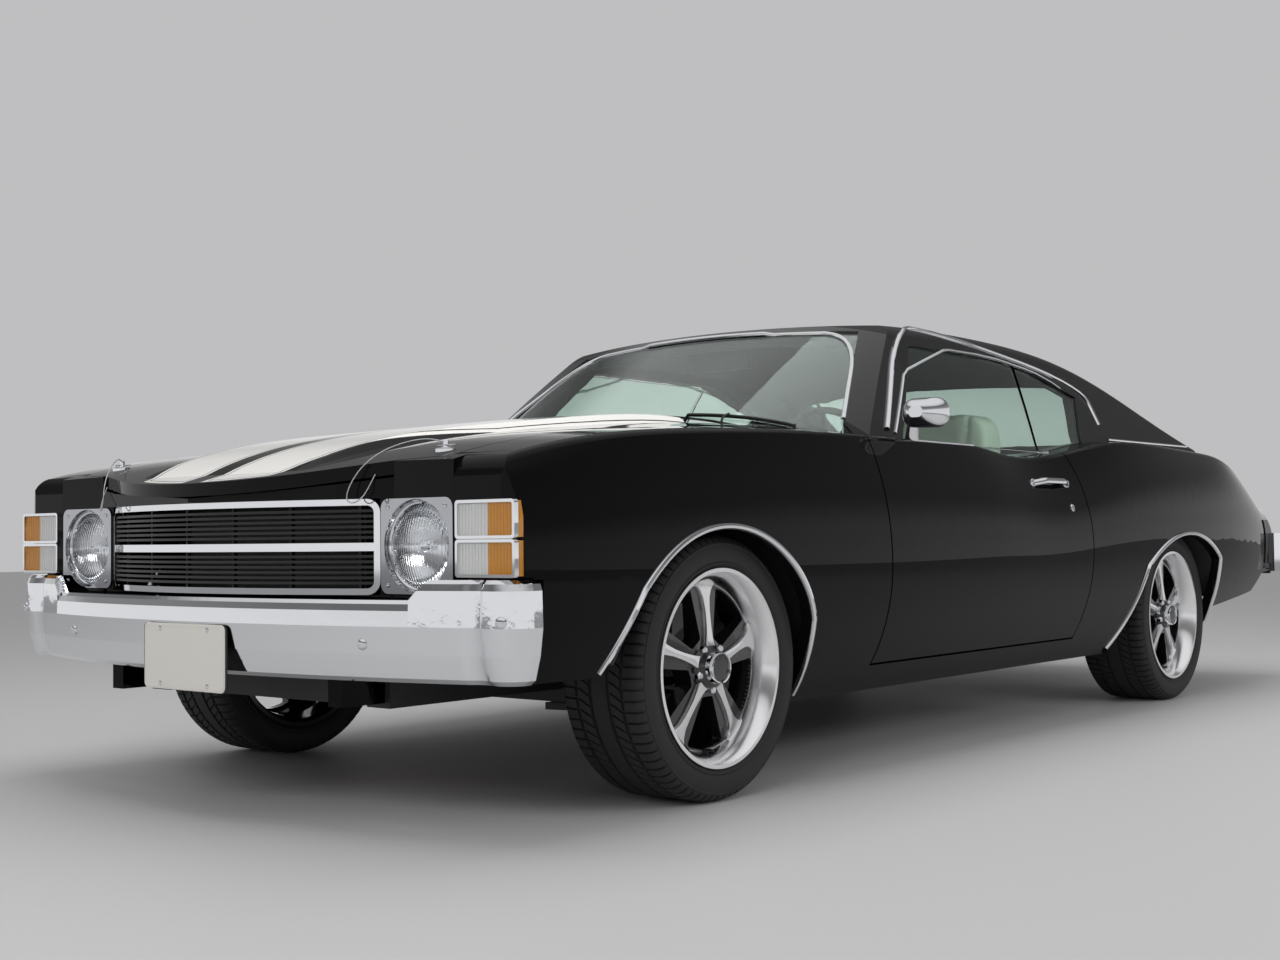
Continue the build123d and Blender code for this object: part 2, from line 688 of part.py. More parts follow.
with BuildPart() as roof:
    add(roof_outer)
    add(roof_inner, mode=Mode.SUBTRACT)
    extrude(windshield_sketch(0), amount=1400, mode=Mode.SUBTRACT)
    extrude(rear_window_sketch(0), amount=1400, mode=Mode.SUBTRACT)
    side_prism(SIDE_OPENING, -1000, 1000, mode=Mode.SUBTRACT)
    block((-1000, 300, 0), (1000, 3600, 895), mode=Mode.SUBTRACT)
    block((-1000, 300, 0), (1000, 835, 1400), mode=Mode.SUBTRACT)
    add(grown, mode=Mode.SUBTRACT)
save(roof, "roof")

with BuildPart() as windshield:
    add(glass_shell.part)
    extrude(windshield_sketch(SEAT_GAP), amount=1400, mode=Mode.INTERSECT)
    block((-1000, 300, 900), (1000, 1300, 1400), mode=Mode.INTERSECT)
save(windshield, "windshield")

with BuildPart() as rear_window:
    add(glass_shell.part)
    extrude(rear_window_sketch(SEAT_GAP), amount=1400, mode=Mode.INTERSECT)
save(rear_window, "rear_window")

low, high = DIVISION_LOW, DIVISION_HIGH
with BuildPart() as door_glass:
    add(glass_shell.part)
    top_z = 1206 - PANEL_GAP
    edge = [(GLASS_FRONT + 2, 840), (1292 + PANEL_GAP, top_z), (high[0] - DIVISION_HALF, top_z)]
    edge += [(low[0] - DIVISION_HALF, low[1]), (low[0] - DIVISION_HALF, 840)]
    side_prism(edge, 500, 1000, mode=Mode.INTERSECT)
save_pair(door_glass, "door_glass")

with BuildPart() as quarter_glass:
    add(glass_shell.part)
    edge = [(low[0] + DIVISION_HALF, low[1]), (high[0] + DIVISION_HALF + 4, 1200), (2381, 1104)]
    edge += [(2289, 966), (2249, 840), (low[0] + DIVISION_HALF, 840)]
    side_prism(edge, 500, 1000, mode=Mode.INTERSECT)
    block((500, 1800, 700), (1000, DOOR_REAR + 10, QUARTER_GLASS_LOW), mode=Mode.SUBTRACT)
with BuildPart() as quarter_windows:
    add(quarter_glass.part)
    mirror(quarter_glass.part, about=Plane.YZ)
save(quarter_windows, "quarter_windows")

# Bumpers: plan corners and heights
BUMPER_LOW, BUMPER_HIGH = 325, 498
BUMPER_END_HIGH = 540
BUMPER_END_X, BUMPER_STEP = 660, 40
BUMPER_BAR = 52
REAR_BUMPER_LOW, REAR_BUMPER_HIGH = 452, 612
TAIL_LAMPS = [560, 700]
TAIL_LAMP_Z = 532
TAIL_LAMP_RADIUS = 52
BRACKET_X = 410


PLATE_HOLE_SPACING, PLATE_HOLE_RADIUS = 177.8, 3.5
PLATE_HOLE_Z = 425
REAR_PLATE_HOLE_Z = 590
# Plan of the front bumper's face: x and station of the fold's start, valley and end, then of the wing
FOLD_START, FOLD_VALLEY, FOLD_END = (775, -762), (806, -748), (838, -754)
WING_CORNER, WING_SIDE = (903, -733), (926, -694)
WING_END = -668
# Plan of its inner face: half width and station of the arc's ends, then the inside of the wing
INNER_END, INNER_WING = (770, -738), (862, -702)
# Section of the bumper's face: height above its foot, or down from its top, and how far it steps back
FACE_LOW = [(0, 36), (10, 22), (60, 8), (118, 0)]
FACE_HIGH = [(22, 2), (8, 7), (0, 14)]


def bumper_plan(z, back, inner_back):
    """Plan of the front bumper at a height; its face steps back, and a fold sets off each end."""
    with BuildSketch(Plane.XY.offset(z)) as plan:
        with BuildLine():
            for side in (-1, 1):
                fold = [(side * x, at(station) + back) for x, station in (FOLD_START, FOLD_VALLEY, FOLD_END)]
                ThreePointArc(*fold)
                corner = (side * (WING_CORNER[0] - 0.7 * back), at(WING_CORNER[1]) + 0.7 * back)
                wing_side = (side * (WING_SIDE[0] - back), at(WING_SIDE[1]) + 0.3 * back)
                ThreePointArc(fold[2], corner, wing_side)
                inner_wing = (side * INNER_WING[0], at(INNER_WING[1]))
                Polyline(wing_side, (wing_side[0], at(WING_END)), (inner_wing[0], at(WING_END)), inner_wing)
                Line(inner_wing, (side * INNER_END[0], at(INNER_END[1]) + inner_back))
            front = [(side * FOLD_START[0], at(FOLD_START[1]) + back) for side in (-1, 1)]
            ThreePointArc(front[0], (0, at(-FRONT_OVERHANG) + back), front[1])
            inner = [(side * INNER_END[0], at(INNER_END[1]) + inner_back) for side in (-1, 1)]
            ThreePointArc(inner[0], (0, at(-FRONT_OVERHANG) + BUMPER_BAR + inner_back), inner[1])
        make_face()
    return plan.sketch


def bumper_bar(high):
    """Whole bumper bar up to a height, its face rolled back at the foot and the top."""
    rows = [(BUMPER_LOW + rise, back, back) for rise, back in FACE_LOW]
    rows += [(high - drop, back, 0) for drop, back in FACE_HIGH]
    with BuildPart() as bar:
        loft([bumper_plan(z, back, inner_back) for z, back, inner_back in rows], ruled=True)
    return bar.part


with BuildPart() as bumper_middle:
    add(bumper_bar(BUMPER_HIGH))
    block((-BUMPER_END_X, -1000, 0), (BUMPER_END_X, -600, 1000), mode=Mode.INTERSECT)

with BuildPart() as front_bumper:
    add(bumper_bar(BUMPER_END_HIGH))
    with BuildSketch(Plane.XZ.offset(-at(-1000))):
        with BuildLine():
            rise, run = BUMPER_END_HIGH + 1, BUMPER_END_X + BUMPER_STEP
            Polyline((-run, rise), (-BUMPER_END_X, BUMPER_HIGH), (-BUMPER_END_X, 0), (BUMPER_END_X, 0))
            Polyline((BUMPER_END_X, 0), (BUMPER_END_X, BUMPER_HIGH), (run, rise), (-run, rise))
        make_face()
    extrude(amount=-500, mode=Mode.SUBTRACT)
    add(bumper_middle.part)
    for side in (-1, 1):
        with Locations((side * PLATE_HOLE_SPACING / 2, at(-FRONT_OVERHANG), PLATE_HOLE_Z)):
            Cylinder(PLATE_HOLE_RADIUS, 160, rotation=(90, 0, 0), mode=Mode.SUBTRACT)
        block((side * BRACKET_X - 22, -800, 345), (side * BRACKET_X + 22, -740, 420))
        block((side * BRACKET_X - 22, -775, 262), (side * BRACKET_X + 22, -650.3, 420))
save(front_bumper, "front_bumper")

rear_y = at(DRAWN_WHEELBASE + REAR_OVERHANG)
with BuildPart() as rear_bumper:
    with BuildSketch(Plane.XY.offset(REAR_BUMPER_LOW)):
        with BuildLine():
            ThreePointArc((-850, rear_y - 15), (0, rear_y), (850, rear_y - 15))
            for side in (-1, 1):
                ThreePointArc((side * 850, rear_y - 15), (side * 892, rear_y - 33), (side * 906, rear_y - 72))
                Line((side * 906, rear_y - 72), (side * 908, rear_y - 165))
                Line((side * 908, rear_y - 165), (side * 884, rear_y - 165))
                Line((side * 884, rear_y - 165), (side * 884, rear_y - 36.7))
            Line((-884, rear_y - 36.7), (884, rear_y - 36.7))
        make_face()
    extrude(amount=REAR_BUMPER_HIGH - REAR_BUMPER_LOW)
    rear_face = Plane(origin=(0, rear_y, 0), x_dir=(-1, 0, 0), z_dir=(0, 1, 0))
    with BuildSketch(rear_face):
        for lamp_x in TAIL_LAMPS:
            with Locations((lamp_x, TAIL_LAMP_Z), (-lamp_x, TAIL_LAMP_Z)):
                Circle(TAIL_LAMP_RADIUS + SEAT_GAP)
    extrude(amount=-60, mode=Mode.SUBTRACT)
    for side in (-1, 1):
        with Locations((side * PLATE_HOLE_SPACING / 2, rear_y, REAR_PLATE_HOLE_Z)):
            Cylinder(PLATE_HOLE_RADIUS, 160, rotation=(90, 0, 0), mode=Mode.SUBTRACT)
save(rear_bumper, "rear_bumper")

with BuildPart() as tail_lamps:
    with BuildSketch(rear_face.offset(-36)) as lamp_sketch:
        for lamp_x in TAIL_LAMPS:
            with Locations((lamp_x, TAIL_LAMP_Z), (-lamp_x, TAIL_LAMP_Z)):
                Circle(TAIL_LAMP_RADIUS)
    extrude(lamp_sketch.sketch, amount=26)
save(tail_lamps, "tail_lamps")
save(tail_panel, "tail_panel")

# Rubber rests that the closed hood and trunk lid lie on
REST_X, REST_STATION, REST_RADIUS = 600, -702, 9
LID_REST_X = 480
with BuildPart() as lid_rests:
    for side in (-1, 1):
        with Locations((side * REST_X, at(REST_STATION), 700)):
            Cylinder(REST_RADIUS, 400)
    add(body_volume(SKIN + SEAT_GAP), mode=Mode.INTERSECT)
    add(body_volume(SKIN + PANEL_GAP), mode=Mode.SUBTRACT)
    for side in (-1, 1):
        with Locations((side * LID_REST_X, at(TAIL_STATION - 17), LID_LIP_Z - SEAT_GAP)):
            Box(36, 18, PANEL_GAP - SEAT_GAP, align=(Align.CENTER, Align.CENTER, Align.MAX))
save(lid_rests, "lid_rests")

# Grille
GRILLE_FRAME = 14
GRILLE_CORNER = 30
GRILLE_MID_Z = (GRILLE_LOW + GRILLE_HIGH) / 2
GRILLE_MID_HALF = 9
BAR_COUNT = 6
BAR_HEIGHT = 6
RIB_X = [-440, -264, -88, 88, 264, 440]
GRILLE_DEPTH = 24
BAR_SETBACK = 4
grille_plane = Plane.XZ.offset(-at(-900))
with BuildPart() as grille_frame:
    with BuildSketch(grille_plane):
        with Locations((0, GRILLE_MID_Z)):
            RectangleRounded(2 * GRILLE_HALF, GRILLE_HIGH - GRILLE_LOW, GRILLE_CORNER)
            RectangleRounded(
                2 * (GRILLE_HALF - GRILLE_FRAME),
                GRILLE_HIGH - GRILLE_LOW - 2 * GRILLE_FRAME,
                GRILLE_CORNER - GRILLE_FRAME,
                mode=Mode.SUBTRACT,
            )
            Rectangle(2 * GRILLE_HALF - GRILLE_FRAME, 2 * GRILLE_MID_HALF)
    extrude(amount=-260)
    add(behind_grille_face(0, GRILLE_DEPTH), mode=Mode.INTERSECT)
save(grille_frame, "grille_frame")

with BuildPart() as grille_ribs:
    for rib_x in RIB_X:
        block((rib_x - 3, -900, GRILLE_LOW + 4), (rib_x + 3, -650, GRILLE_HIGH - 4))
    add(behind_grille_face(GRILLE_DEPTH + SEAT_GAP, GRILLE_DEPTH + 10), mode=Mode.INTERSECT)

with BuildPart() as grille:
    half_opening = (GRILLE_HIGH - GRILLE_LOW) / 2 - GRILLE_FRAME
    pitch = (half_opening - GRILLE_MID_HALF) / (BAR_COUNT + 1)
    for row in range(1, BAR_COUNT + 1):
        corner_room = 3 if row == BAR_COUNT else 0
        bar_half = GRILLE_HALF - GRILLE_FRAME - SEAT_GAP - corner_room
        for side in (-1, 1):
            bar_z = GRILLE_MID_Z + side * (GRILLE_MID_HALF + row * pitch)
            block((-bar_half, -900, bar_z - BAR_HEIGHT / 2), (bar_half, -650, bar_z + BAR_HEIGHT / 2))
    add(behind_grille_face(BAR_SETBACK, GRILLE_DEPTH + SEAT_GAP), mode=Mode.INTERSECT)
    add(grille_ribs.part)
save(grille, "grille")

# Headlamps, bezels and corner lamps
with BuildPart() as headlamp_bezels:
    for side in (-1, 1):
        with BuildSketch(Plane.XZ.offset(-at(NOSE_PLANE - 4) - SEAT_GAP)) as plate:
            with Locations((side * HEADLAMP_X, HEADLAMP_Z)):
                RectangleRounded(BEZEL_WIDTH, BEZEL_HEIGHT, 21.7)
                Circle(HEADLAMP_RADIUS + 3, mode=Mode.SUBTRACT)
        extrude(plate.sketch, amount=-BEZEL_DEPTH - 3)
        with Locations(Plane(origin=(side * HEADLAMP_X, at(NOSE_PLANE - 4), HEADLAMP_Z), z_dir=(0, 1, 0))):
            Cone(BEZEL_DISH, HEADLAMP_RADIUS + 3, BEZEL_DEPTH, align=ON_BASE, mode=Mode.SUBTRACT)
save(headlamp_bezels, "headlamp_bezels")

with BuildPart() as headlamps:
    for side in (-1, 1):
        lamp_plane = Plane(
            origin=(side * HEADLAMP_X, at(NOSE_PLANE + 10), HEADLAMP_Z), x_dir=(1, 0, 0), z_dir=(0, -1, 0)
        )
        with BuildSketch(Plane(lamp_plane.origin, x_dir=(1, 0, 0), z_dir=(0, 0, 1))) as lamp_half:
            with BuildLine():
                ThreePointArc((0, -26), (50, -18), (HEADLAMP_RADIUS + 2.7, 6))
                Polyline((HEADLAMP_RADIUS + 2.7, 6), (HEADLAMP_RADIUS + 2.7, 16), (60, 70), (0, 78), (0, -26))
            make_face()
        revolve(lamp_half.sketch, axis=Axis(lamp_plane.origin, (0, 1, 0)))
save(headlamps, "headlamps")

proud = body_volume(-LAMP_PROUD)
with BuildPart() as corner_lamps:
    for side in (-1, 1):
        for lamp_z, lamp_height in CORNER_LAMPS:
            with BuildSketch(Plane.XZ.offset(-at(NOSE_PLANE - 8))) as lens:
                with Locations((side * CORNER_LAMP_X, lamp_z)):
                    Rectangle(CORNER_LAMP_WIDTH, lamp_height)
            extrude(lens.sketch, amount=-CORNER_LAMP_DEPTH - 3)
    add(proud, mode=Mode.INTERSECT)
save(corner_lamps, "corner_lamps")

with BuildPart() as side_markers:
    add(proud)
    add(grown, mode=Mode.SUBTRACT)
    block((-1050, 3866, 485), (1050, 4000, 668), mode=Mode.INTERSECT)
    block((-800, 3800, 400), (800, 4100, 800), mode=Mode.SUBTRACT)
save(side_markers, "side_markers")

# Floor, tunnel and firewall
FLOOR_LOW, FLOOR_HIGH = 300, 318
FIREWALL_STATION = 585
TUNNEL_HALF, TUNNEL_HIGH = 150, 470
TRUNK_FLOOR_Z = 500
REAR_HOUSE_X = 615
FLOOR_HALF = WALL_X - SEAT_GAP

with BuildPart() as floor_pan:
    inner_wall = FIREWALL_STATION + 18
    upper = [(inner_wall, 870), (inner_wall, 470), (790, FLOOR_HIGH), (2310, FLOOR_HIGH)]
    upper += [(2400, TRUNK_FLOOR_Z), (4008, TRUNK_FLOOR_Z)]
    lower = [(4008, TRUNK_FLOOR_Z - 18), (2412, TRUNK_FLOOR_Z - 18), (2322, FLOOR_LOW), (782, FLOOR_LOW)]
    lower += [(FIREWALL_STATION, 462), (FIREWALL_STATION, 870)]
    side_prism(upper + lower, -FLOOR_HALF, FLOOR_HALF)
    for side in (-1, 1):
        outer_x, inner_x = side * (FLOOR_HALF + 1), side * (REAR_HOUSE_X - 3)
        block((min(outer_x, inner_x), 2440, 250), (max(outer_x, inner_x), 3250, 900), mode=Mode.SUBTRACT)
    block((-TUNNEL_HALF, FIREWALL_STATION + 4, FLOOR_LOW + 2), (TUNNEL_HALF, 2350, TUNNEL_HIGH))
    block(
        (-TUNNEL_HALF + 18, FIREWALL_STATION - 50, FLOOR_LOW - 50),
        (TUNNEL_HALF - 18, 2450, TUNNEL_HIGH - 18),
        mode=Mode.SUBTRACT,
    )
save(floor_pan, "floor_pan")

# Wheel houses
FRONT_HOUSE_X = 470
HOUSE_WALL = 12
FRONT_HOUSE_RADIUS = TYRE_RADIUS + 61
REAR_HOUSE_RADIUS = TYRE_RADIUS + 36


def wheel_house(axle_y, inner_x, radius, low_z):
    """Left wheel house: a half drum over the tyre with an inner wall, cut to fit inside the body."""
    with BuildPart() as house:
        with BuildSketch(Plane.YZ.offset(inner_x)) as shell:
            with Locations((axle_y, TYRE_RADIUS)):
                Circle(radius + HOUSE_WALL)
            with Locations((axle_y, TYRE_RADIUS - radius / 2)):
                Rectangle(2 * (radius + HOUSE_WALL), radius)
            with Locations((axle_y, low_z - 500)):
                Rectangle(3000, 1000, mode=Mode.SUBTRACT)
        extrude(shell.sketch, amount=500)
        with BuildSketch(Plane.YZ.offset(inner_x + HOUSE_WALL)) as room:
            with Locations((axle_y, TYRE_RADIUS)):
                Circle(radius)
            with Locations((axle_y, TYRE_RADIUS - radius)):
                Rectangle(2 * radius, 2 * radius)
        extrude(room.sketch, amount=600, mode=Mode.SUBTRACT)
        add(core, mode=Mode.INTERSECT)
    return house


with BuildPart() as front_house:
    add(wheel_house(FRONT_AXLE_Y, FRONT_HOUSE_X, FRONT_HOUSE_RADIUS, 345).part)
    block((400, -110, 300), (500, 110, TYRE_RADIUS + 130), mode=Mode.SUBTRACT)
rear_house = wheel_house(REAR_AXLE_Y, REAR_HOUSE_X, REAR_HOUSE_RADIUS, 370)
with BuildPart() as wheelhouses:
    for house in (front_house, rear_house):
        add(house.part)
        mirror(house.part, about=Plane.YZ)
save(wheelhouses, "wheelhouses")

# Perimeter frame
DRIVE_Z = 340
ARM_LOW, ARM_HIGH = TYRE_RADIUS - 100, TYRE_RADIUS + 100
ARM_THICK = 18
KINGPIN_X = 700
PIPE_RADIUS, PIPE_Z = 28, 262
PIPE_X = 280 + PIPE_RADIUS + SEAT_GAP
RAIL_X = (655, 735)
FRONT_RAIL_X = (372, 448)
REAR_RAIL_X = (500, 572)
RAIL_LOW, RAIL_HIGH = 212, FLOOR_LOW - SEAT_GAP

with BuildPart() as chassis_frame:
    for side in (-1, 1):
        plan = [(RAIL_X[0], 620), (RAIL_X[1], 620), (RAIL_X[1], 2290), (RAIL_X[0], 2290)]
        plan_prism([(side * x, s) for x, s in plan], RAIL_LOW, RAIL_HIGH)
        plan = [(FRONT_RAIL_X[0], 380), (FRONT_RAIL_X[1], 380), (RAIL_X[1], 620), (RAIL_X[1], 700)]
        plan += [(RAIL_X[0], 700)]
        plan_prism([(side * x, s) for x, s in plan], RAIL_LOW, RAIL_HIGH)
        low_x, high_x = FRONT_RAIL_X
        plan = [(low_x, -650), (high_x, -650), (high_x, 400), (low_x, 400)]
        plan_prism([(side * x, s) for x, s in plan], 250, 345)
        plan = [(RAIL_X[0], 2200), (RAIL_X[1], 2200), (RAIL_X[1], 2290), (REAR_RAIL_X[1], 2400)]
        plan += [(REAR_RAIL_X[0], 2400), (REAR_RAIL_X[0], 2330)]
        plan_prism([(side * x, s) for x, s in plan], RAIL_LOW, RAIL_HIGH)
        low_x, high_x = sorted((side * REAR_RAIL_X[0], side * REAR_RAIL_X[1]))
        rail = [(2330, RAIL_LOW), (2400, RAIL_LOW), (2640, 400), (3080, 400), (3290, 360), (3960, 360)]
        rail += [(3960, 440), (3300, 440), (3080, 480), (2600, 480), (2330, RAIL_HIGH)]
        side_prism(rail, low_x, high_x)
    block((-FRONT_RAIL_X[1], -640, 252), (FRONT_RAIL_X[1], -540, 330))
    for side in (-1, 1):
        low_x, high_x = sorted((side * 385, side * FRONT_RAIL_X[1]))
        block((low_x, -60, 340), (high_x, 60, ARM_HIGH - SEAT_GAP))
    block((-FRONT_RAIL_X[1], -70, 215), (FRONT_RAIL_X[1], 70, 300))
    block((-RAIL_X[0], 1120, 215), (RAIL_X[0], 1200, DRIVE_Z - 76 - SEAT_GAP))
    block((-REAR_RAIL_X[0], 2350, 215), (REAR_RAIL_X[0], 2400, 262))
    block((-REAR_RAIL_X[0], 3880, 365), (REAR_RAIL_X[0], 3950, 435))
    for side in (-1, 1):
        with Locations(Plane(origin=(side * PIPE_X, at(1000), PIPE_Z), x_dir=(1, 0, 0), z_dir=(0, 1, 0))):
            saddle = PIPE_RADIUS + SEAT_GAP
            Cylinder(saddle, 2000, align=ON_BASE, mode=Mode.SUBTRACT)
        low_x, high_x = sorted((side * (PIPE_X - saddle), side * (PIPE_X + saddle)))
        block((low_x, 1000, PIPE_Z), (high_x, 3000, PIPE_Z + 30), mode=Mode.SUBTRACT)
save(chassis_frame, "chassis_frame")

# Powertrain, tank and exhaust
with BuildPart() as engine:
    block((-280, -330, 305), (280, 330, 700))
    block((-150, -250, 300.3), (150, 250, 310))
    block((-170, -230, 700), (170, 240, 770))
save(engine, "engine")

with BuildPart() as driveline:
    with BuildSketch(Plane.XZ.offset(-at(330.3))) as bell:
        with Locations((0, DRIVE_Z + 20)):
            Circle(122)
    with BuildSketch(Plane.XZ.offset(-at(560))) as gearbox:
        with Locations((0, DRIVE_Z + 5)):
            Circle(88)
    loft([bell.sketch, gearbox.sketch])
    with Locations(Plane(origin=(0, at(560), DRIVE_Z), x_dir=(1, 0, 0), z_dir=(0, 1, 0))):
        Cylinder(76, at(1180) - at(560), align=ON_BASE)
        Cylinder(38, at(2665) - at(560), align=ON_BASE)
save(driveline, "driveline")

with BuildPart() as rear_axle:
    with Locations(Plane(origin=(0, REAR_AXLE_Y, TYRE_RADIUS), x_dir=(0, 1, 0), z_dir=(1, 0, 0))):
        Cylinder(38, 2 * (REAR_WHEEL_X - 84))
        Cylinder(62, 2 * 170)
    with Locations((0, REAR_AXLE_Y, TYRE_RADIUS)):
        Sphere(122)
    for side in (-1, 1):
        spring_x = side * 400
        with Locations((spring_x, REAR_AXLE_Y, TYRE_RADIUS + 36)):
            Cylinder(58, 480 - TYRE_RADIUS - 36 + 1.7, align=ON_BASE)
    with Locations(Plane(origin=(0, at(2665.3), TYRE_RADIUS + 20), x_dir=(1, 0, 0), z_dir=(0, 1, 0))):
        Cylinder(52, REAR_AXLE_Y - at(2665.3), align=ON_BASE)

with BuildPart() as fuel_tank:
    block((-420, 3250, 300), (420, 3860, TRUNK_FLOOR_Z - 18 - SEAT_GAP))
    fillet(fuel_tank.edges().filter_by(Axis.Z), 60)
    fillet(fuel_tank.faces().sort_by(Axis.Z)[0].edges(), 35)
save(fuel_tank, "fuel_tank")


# Wheels: rim, five spokes, hub and tyre, drawn about the axle with x outward from the wheel's middle
RIM_LIP_RADIUS = 235
SEAT_RADIUS = 224
RIM_HALF = 112
HUB_BACK = -42
SPINDLE_RADIUS = 16
SPINDLE_FIT = 0.05
SPINDLE_END = -8
SPOKES = 5
WINDOW_INNER, WINDOW_OUTER = 72, 193
WINDOW_INNER_HALF, WINDOW_OUTER_HALF = 16, 21
DISC_RADIUS = 150

# Section points: x, radius
TYRE_SIDE = [(-RIM_HALF + 0.3, SEAT_RADIUS + SEAT_GAP), (-RIM_HALF + 0.3, 238)]
TYRE_SIDE += [(-120, 254), (-TYRE_WIDTH / 2, 273)]
TYRE_SIDE += [(-118, 296), (-108, TYRE_RADIUS - 5), (-92, TYRE_RADIUS)]
TYRE_BORE = [(96, SEAT_RADIUS + SEAT_GAP), (104, 252), (108, 274), (98, 294), (84, 300)]
RIM_BARREL = [(-RIM_HALF - 6, RIM_LIP_RADIUS), (-RIM_HALF, RIM_LIP_RADIUS), (-RIM_HALF, SEAT_RADIUS)]
RIM_BARREL += [(RIM_HALF, SEAT_RADIUS), (RIM_HALF, RIM_LIP_RADIUS), (RIM_HALF + 6, RIM_LIP_RADIUS)]
RIM_BARREL += [(RIM_HALF + 6, 226), (108, 216), (84, 206), (62, 199)]
RIM_BARREL += [(-60, 204), (-104, 214), (-RIM_HALF - 6, 224)]
SPOKE_SECTION = [(22, 0), (22, 58), (38, 203), (62, 203), (74, 58), (78, 56), (78, 0)]
HUB_SECTION = [(HUB_BACK, 0), (HUB_BACK, 60), (30, 60), (30, 58), (78, 58), (90, 50), (96, 40), (98, 0)]


def wheel_axis(wheel_x, axle_y):
    """Axle line of a wheel."""
    return Axis((wheel_x, axle_y, TYRE_RADIUS), (1, 0, 0))


def wheel_plane(wheel_x, axle_y):
    """Half-section plane: local x outward along the axle, local y away from it."""
    return Plane(origin=(wheel_x, axle_y, TYRE_RADIUS), x_dir=(1, 0, 0), z_dir=(0, -1, 0))


def ring(plane, axis, points, mode=Mode.ADD):
    """Solid of revolution of a section outline about the axle."""
    with BuildSketch(plane) as section:
        with BuildLine():
            Polyline(*points, close=True)
        make_face()
    revolve(section.sketch, axis=axis, mode=mode)


def tyre_at(wheel_x, axle_y):
    """Left tyre, open at the beads."""
    with BuildPart() as tyre:
        outside = TYRE_SIDE + [(-x, radius) for x, radius in TYRE_SIDE[::-1]]
        bore = TYRE_BORE + [(-x, radius) for x, radius in TYRE_BORE[::-1]]
        ring(wheel_plane(wheel_x, axle_y), wheel_axis(wheel_x, axle_y), outside + bore)
    return tyre


def wheel_at(wheel_x, axle_y):
    """Left five-spoke wheel with its brake disc, face outward."""
    plane, axis = wheel_plane(wheel_x, axle_y), wheel_axis(wheel_x, axle_y)
    face = Plane(origin=(wheel_x, axle_y, TYRE_RADIUS), x_dir=(0, 1, 0), z_dir=(1, 0, 0))
    with BuildPart() as wheel:
        ring(plane, axis, SPOKE_SECTION)
        inner_turn, outer_turn = radians(WINDOW_INNER_HALF), radians(WINDOW_OUTER_HALF)
        inner_x, inner_z = WINDOW_INNER * cos(inner_turn), WINDOW_INNER * sin(inner_turn)
        outer_x, outer_z = WINDOW_OUTER * cos(outer_turn), WINDOW_OUTER * sin(outer_turn)
        with BuildSketch(face) as windows:
            with PolarLocations(0, SPOKES, start_angle=-90):
                with BuildLine(mode=Mode.PRIVATE) as edge:
                    Polyline((outer_x, outer_z), (inner_x, inner_z), (inner_x, -inner_z), (outer_x, -outer_z))
                    ThreePointArc((outer_x, outer_z), (WINDOW_OUTER, 0), (outer_x, -outer_z))
                add(make_face(edge.edges(), mode=Mode.PRIVATE))
            fillet(windows.vertices(), 9)
        extrude(windows.sketch, amount=150, mode=Mode.SUBTRACT)
        ring(plane, axis, RIM_BARREL)
        ring(plane, axis, HUB_SECTION)
        disc_in, disc_out = HUB_BACK + 4, HUB_BACK + 28
        ring(plane, axis, [(disc_in, 0), (disc_in, DISC_RADIUS), (disc_out, DISC_RADIUS), (disc_out, 0)])
        bore = SPINDLE_RADIUS + SPINDLE_FIT
        bore_end = SPINDLE_END + 2
        ring(plane, axis, [(-80, 0), (-80, bore), (bore_end, bore), (bore_end, 0)], mode=Mode.SUBTRACT)
    return wheel


for end, wheel_x, axle_y in (("front", FRONT_WHEEL_X, FRONT_AXLE_Y), ("rear", REAR_WHEEL_X, REAR_AXLE_Y)):
    save_pair(tyre_at(wheel_x, axle_y), "tyre_" + end)
    wheel = wheel_at(wheel_x, axle_y)
    save_pair(wheel, "wheel_" + end)

# Rear axle ends carry the rear wheels
with BuildPart() as rear_axle_whole:
    add(rear_axle.part)
    for side in (-1, 1):
        for radius, start, stop in (
            (50, REAR_WHEEL_X - 90, REAR_WHEEL_X + HUB_BACK - SEAT_GAP),
            (SPINDLE_RADIUS, REAR_WHEEL_X - 90, REAR_WHEEL_X + SPINDLE_END),
        ):
            start_point = (side * start, REAR_AXLE_Y, TYRE_RADIUS)
            with Locations(Plane(origin=start_point, x_dir=(0, 1, 0), z_dir=(side, 0, 0))):
                Cylinder(radius, stop - start, align=ON_BASE)
save(rear_axle_whole, "rear_axle")

# Steering knuckle: upright on the kingpin, flange, spindle and steering arm
with BuildPart() as knuckle:
    with Locations((KINGPIN_X, FRONT_AXLE_Y, TYRE_RADIUS)):
        Cylinder(20, ARM_HIGH - ARM_LOW)
    outward = Plane(origin=(KINGPIN_X, FRONT_AXLE_Y, TYRE_RADIUS), x_dir=(0, 1, 0), z_dir=(1, 0, 0))
    with Locations(outward):
        Cylinder(52, FRONT_WHEEL_X + HUB_BACK - SEAT_GAP - KINGPIN_X, align=ON_BASE)
        Cylinder(SPINDLE_RADIUS, FRONT_WHEEL_X + SPINDLE_END - KINGPIN_X, align=ON_BASE)
    arm_plan = [(KINGPIN_X - 20, -10), (KINGPIN_X + 14, -10), (KINGPIN_X - 22, 150), (KINGPIN_X - 46, 150)]
    plan_prism(arm_plan, TYRE_RADIUS - 84, TYRE_RADIUS - 66)
save_pair(knuckle, "knuckle")

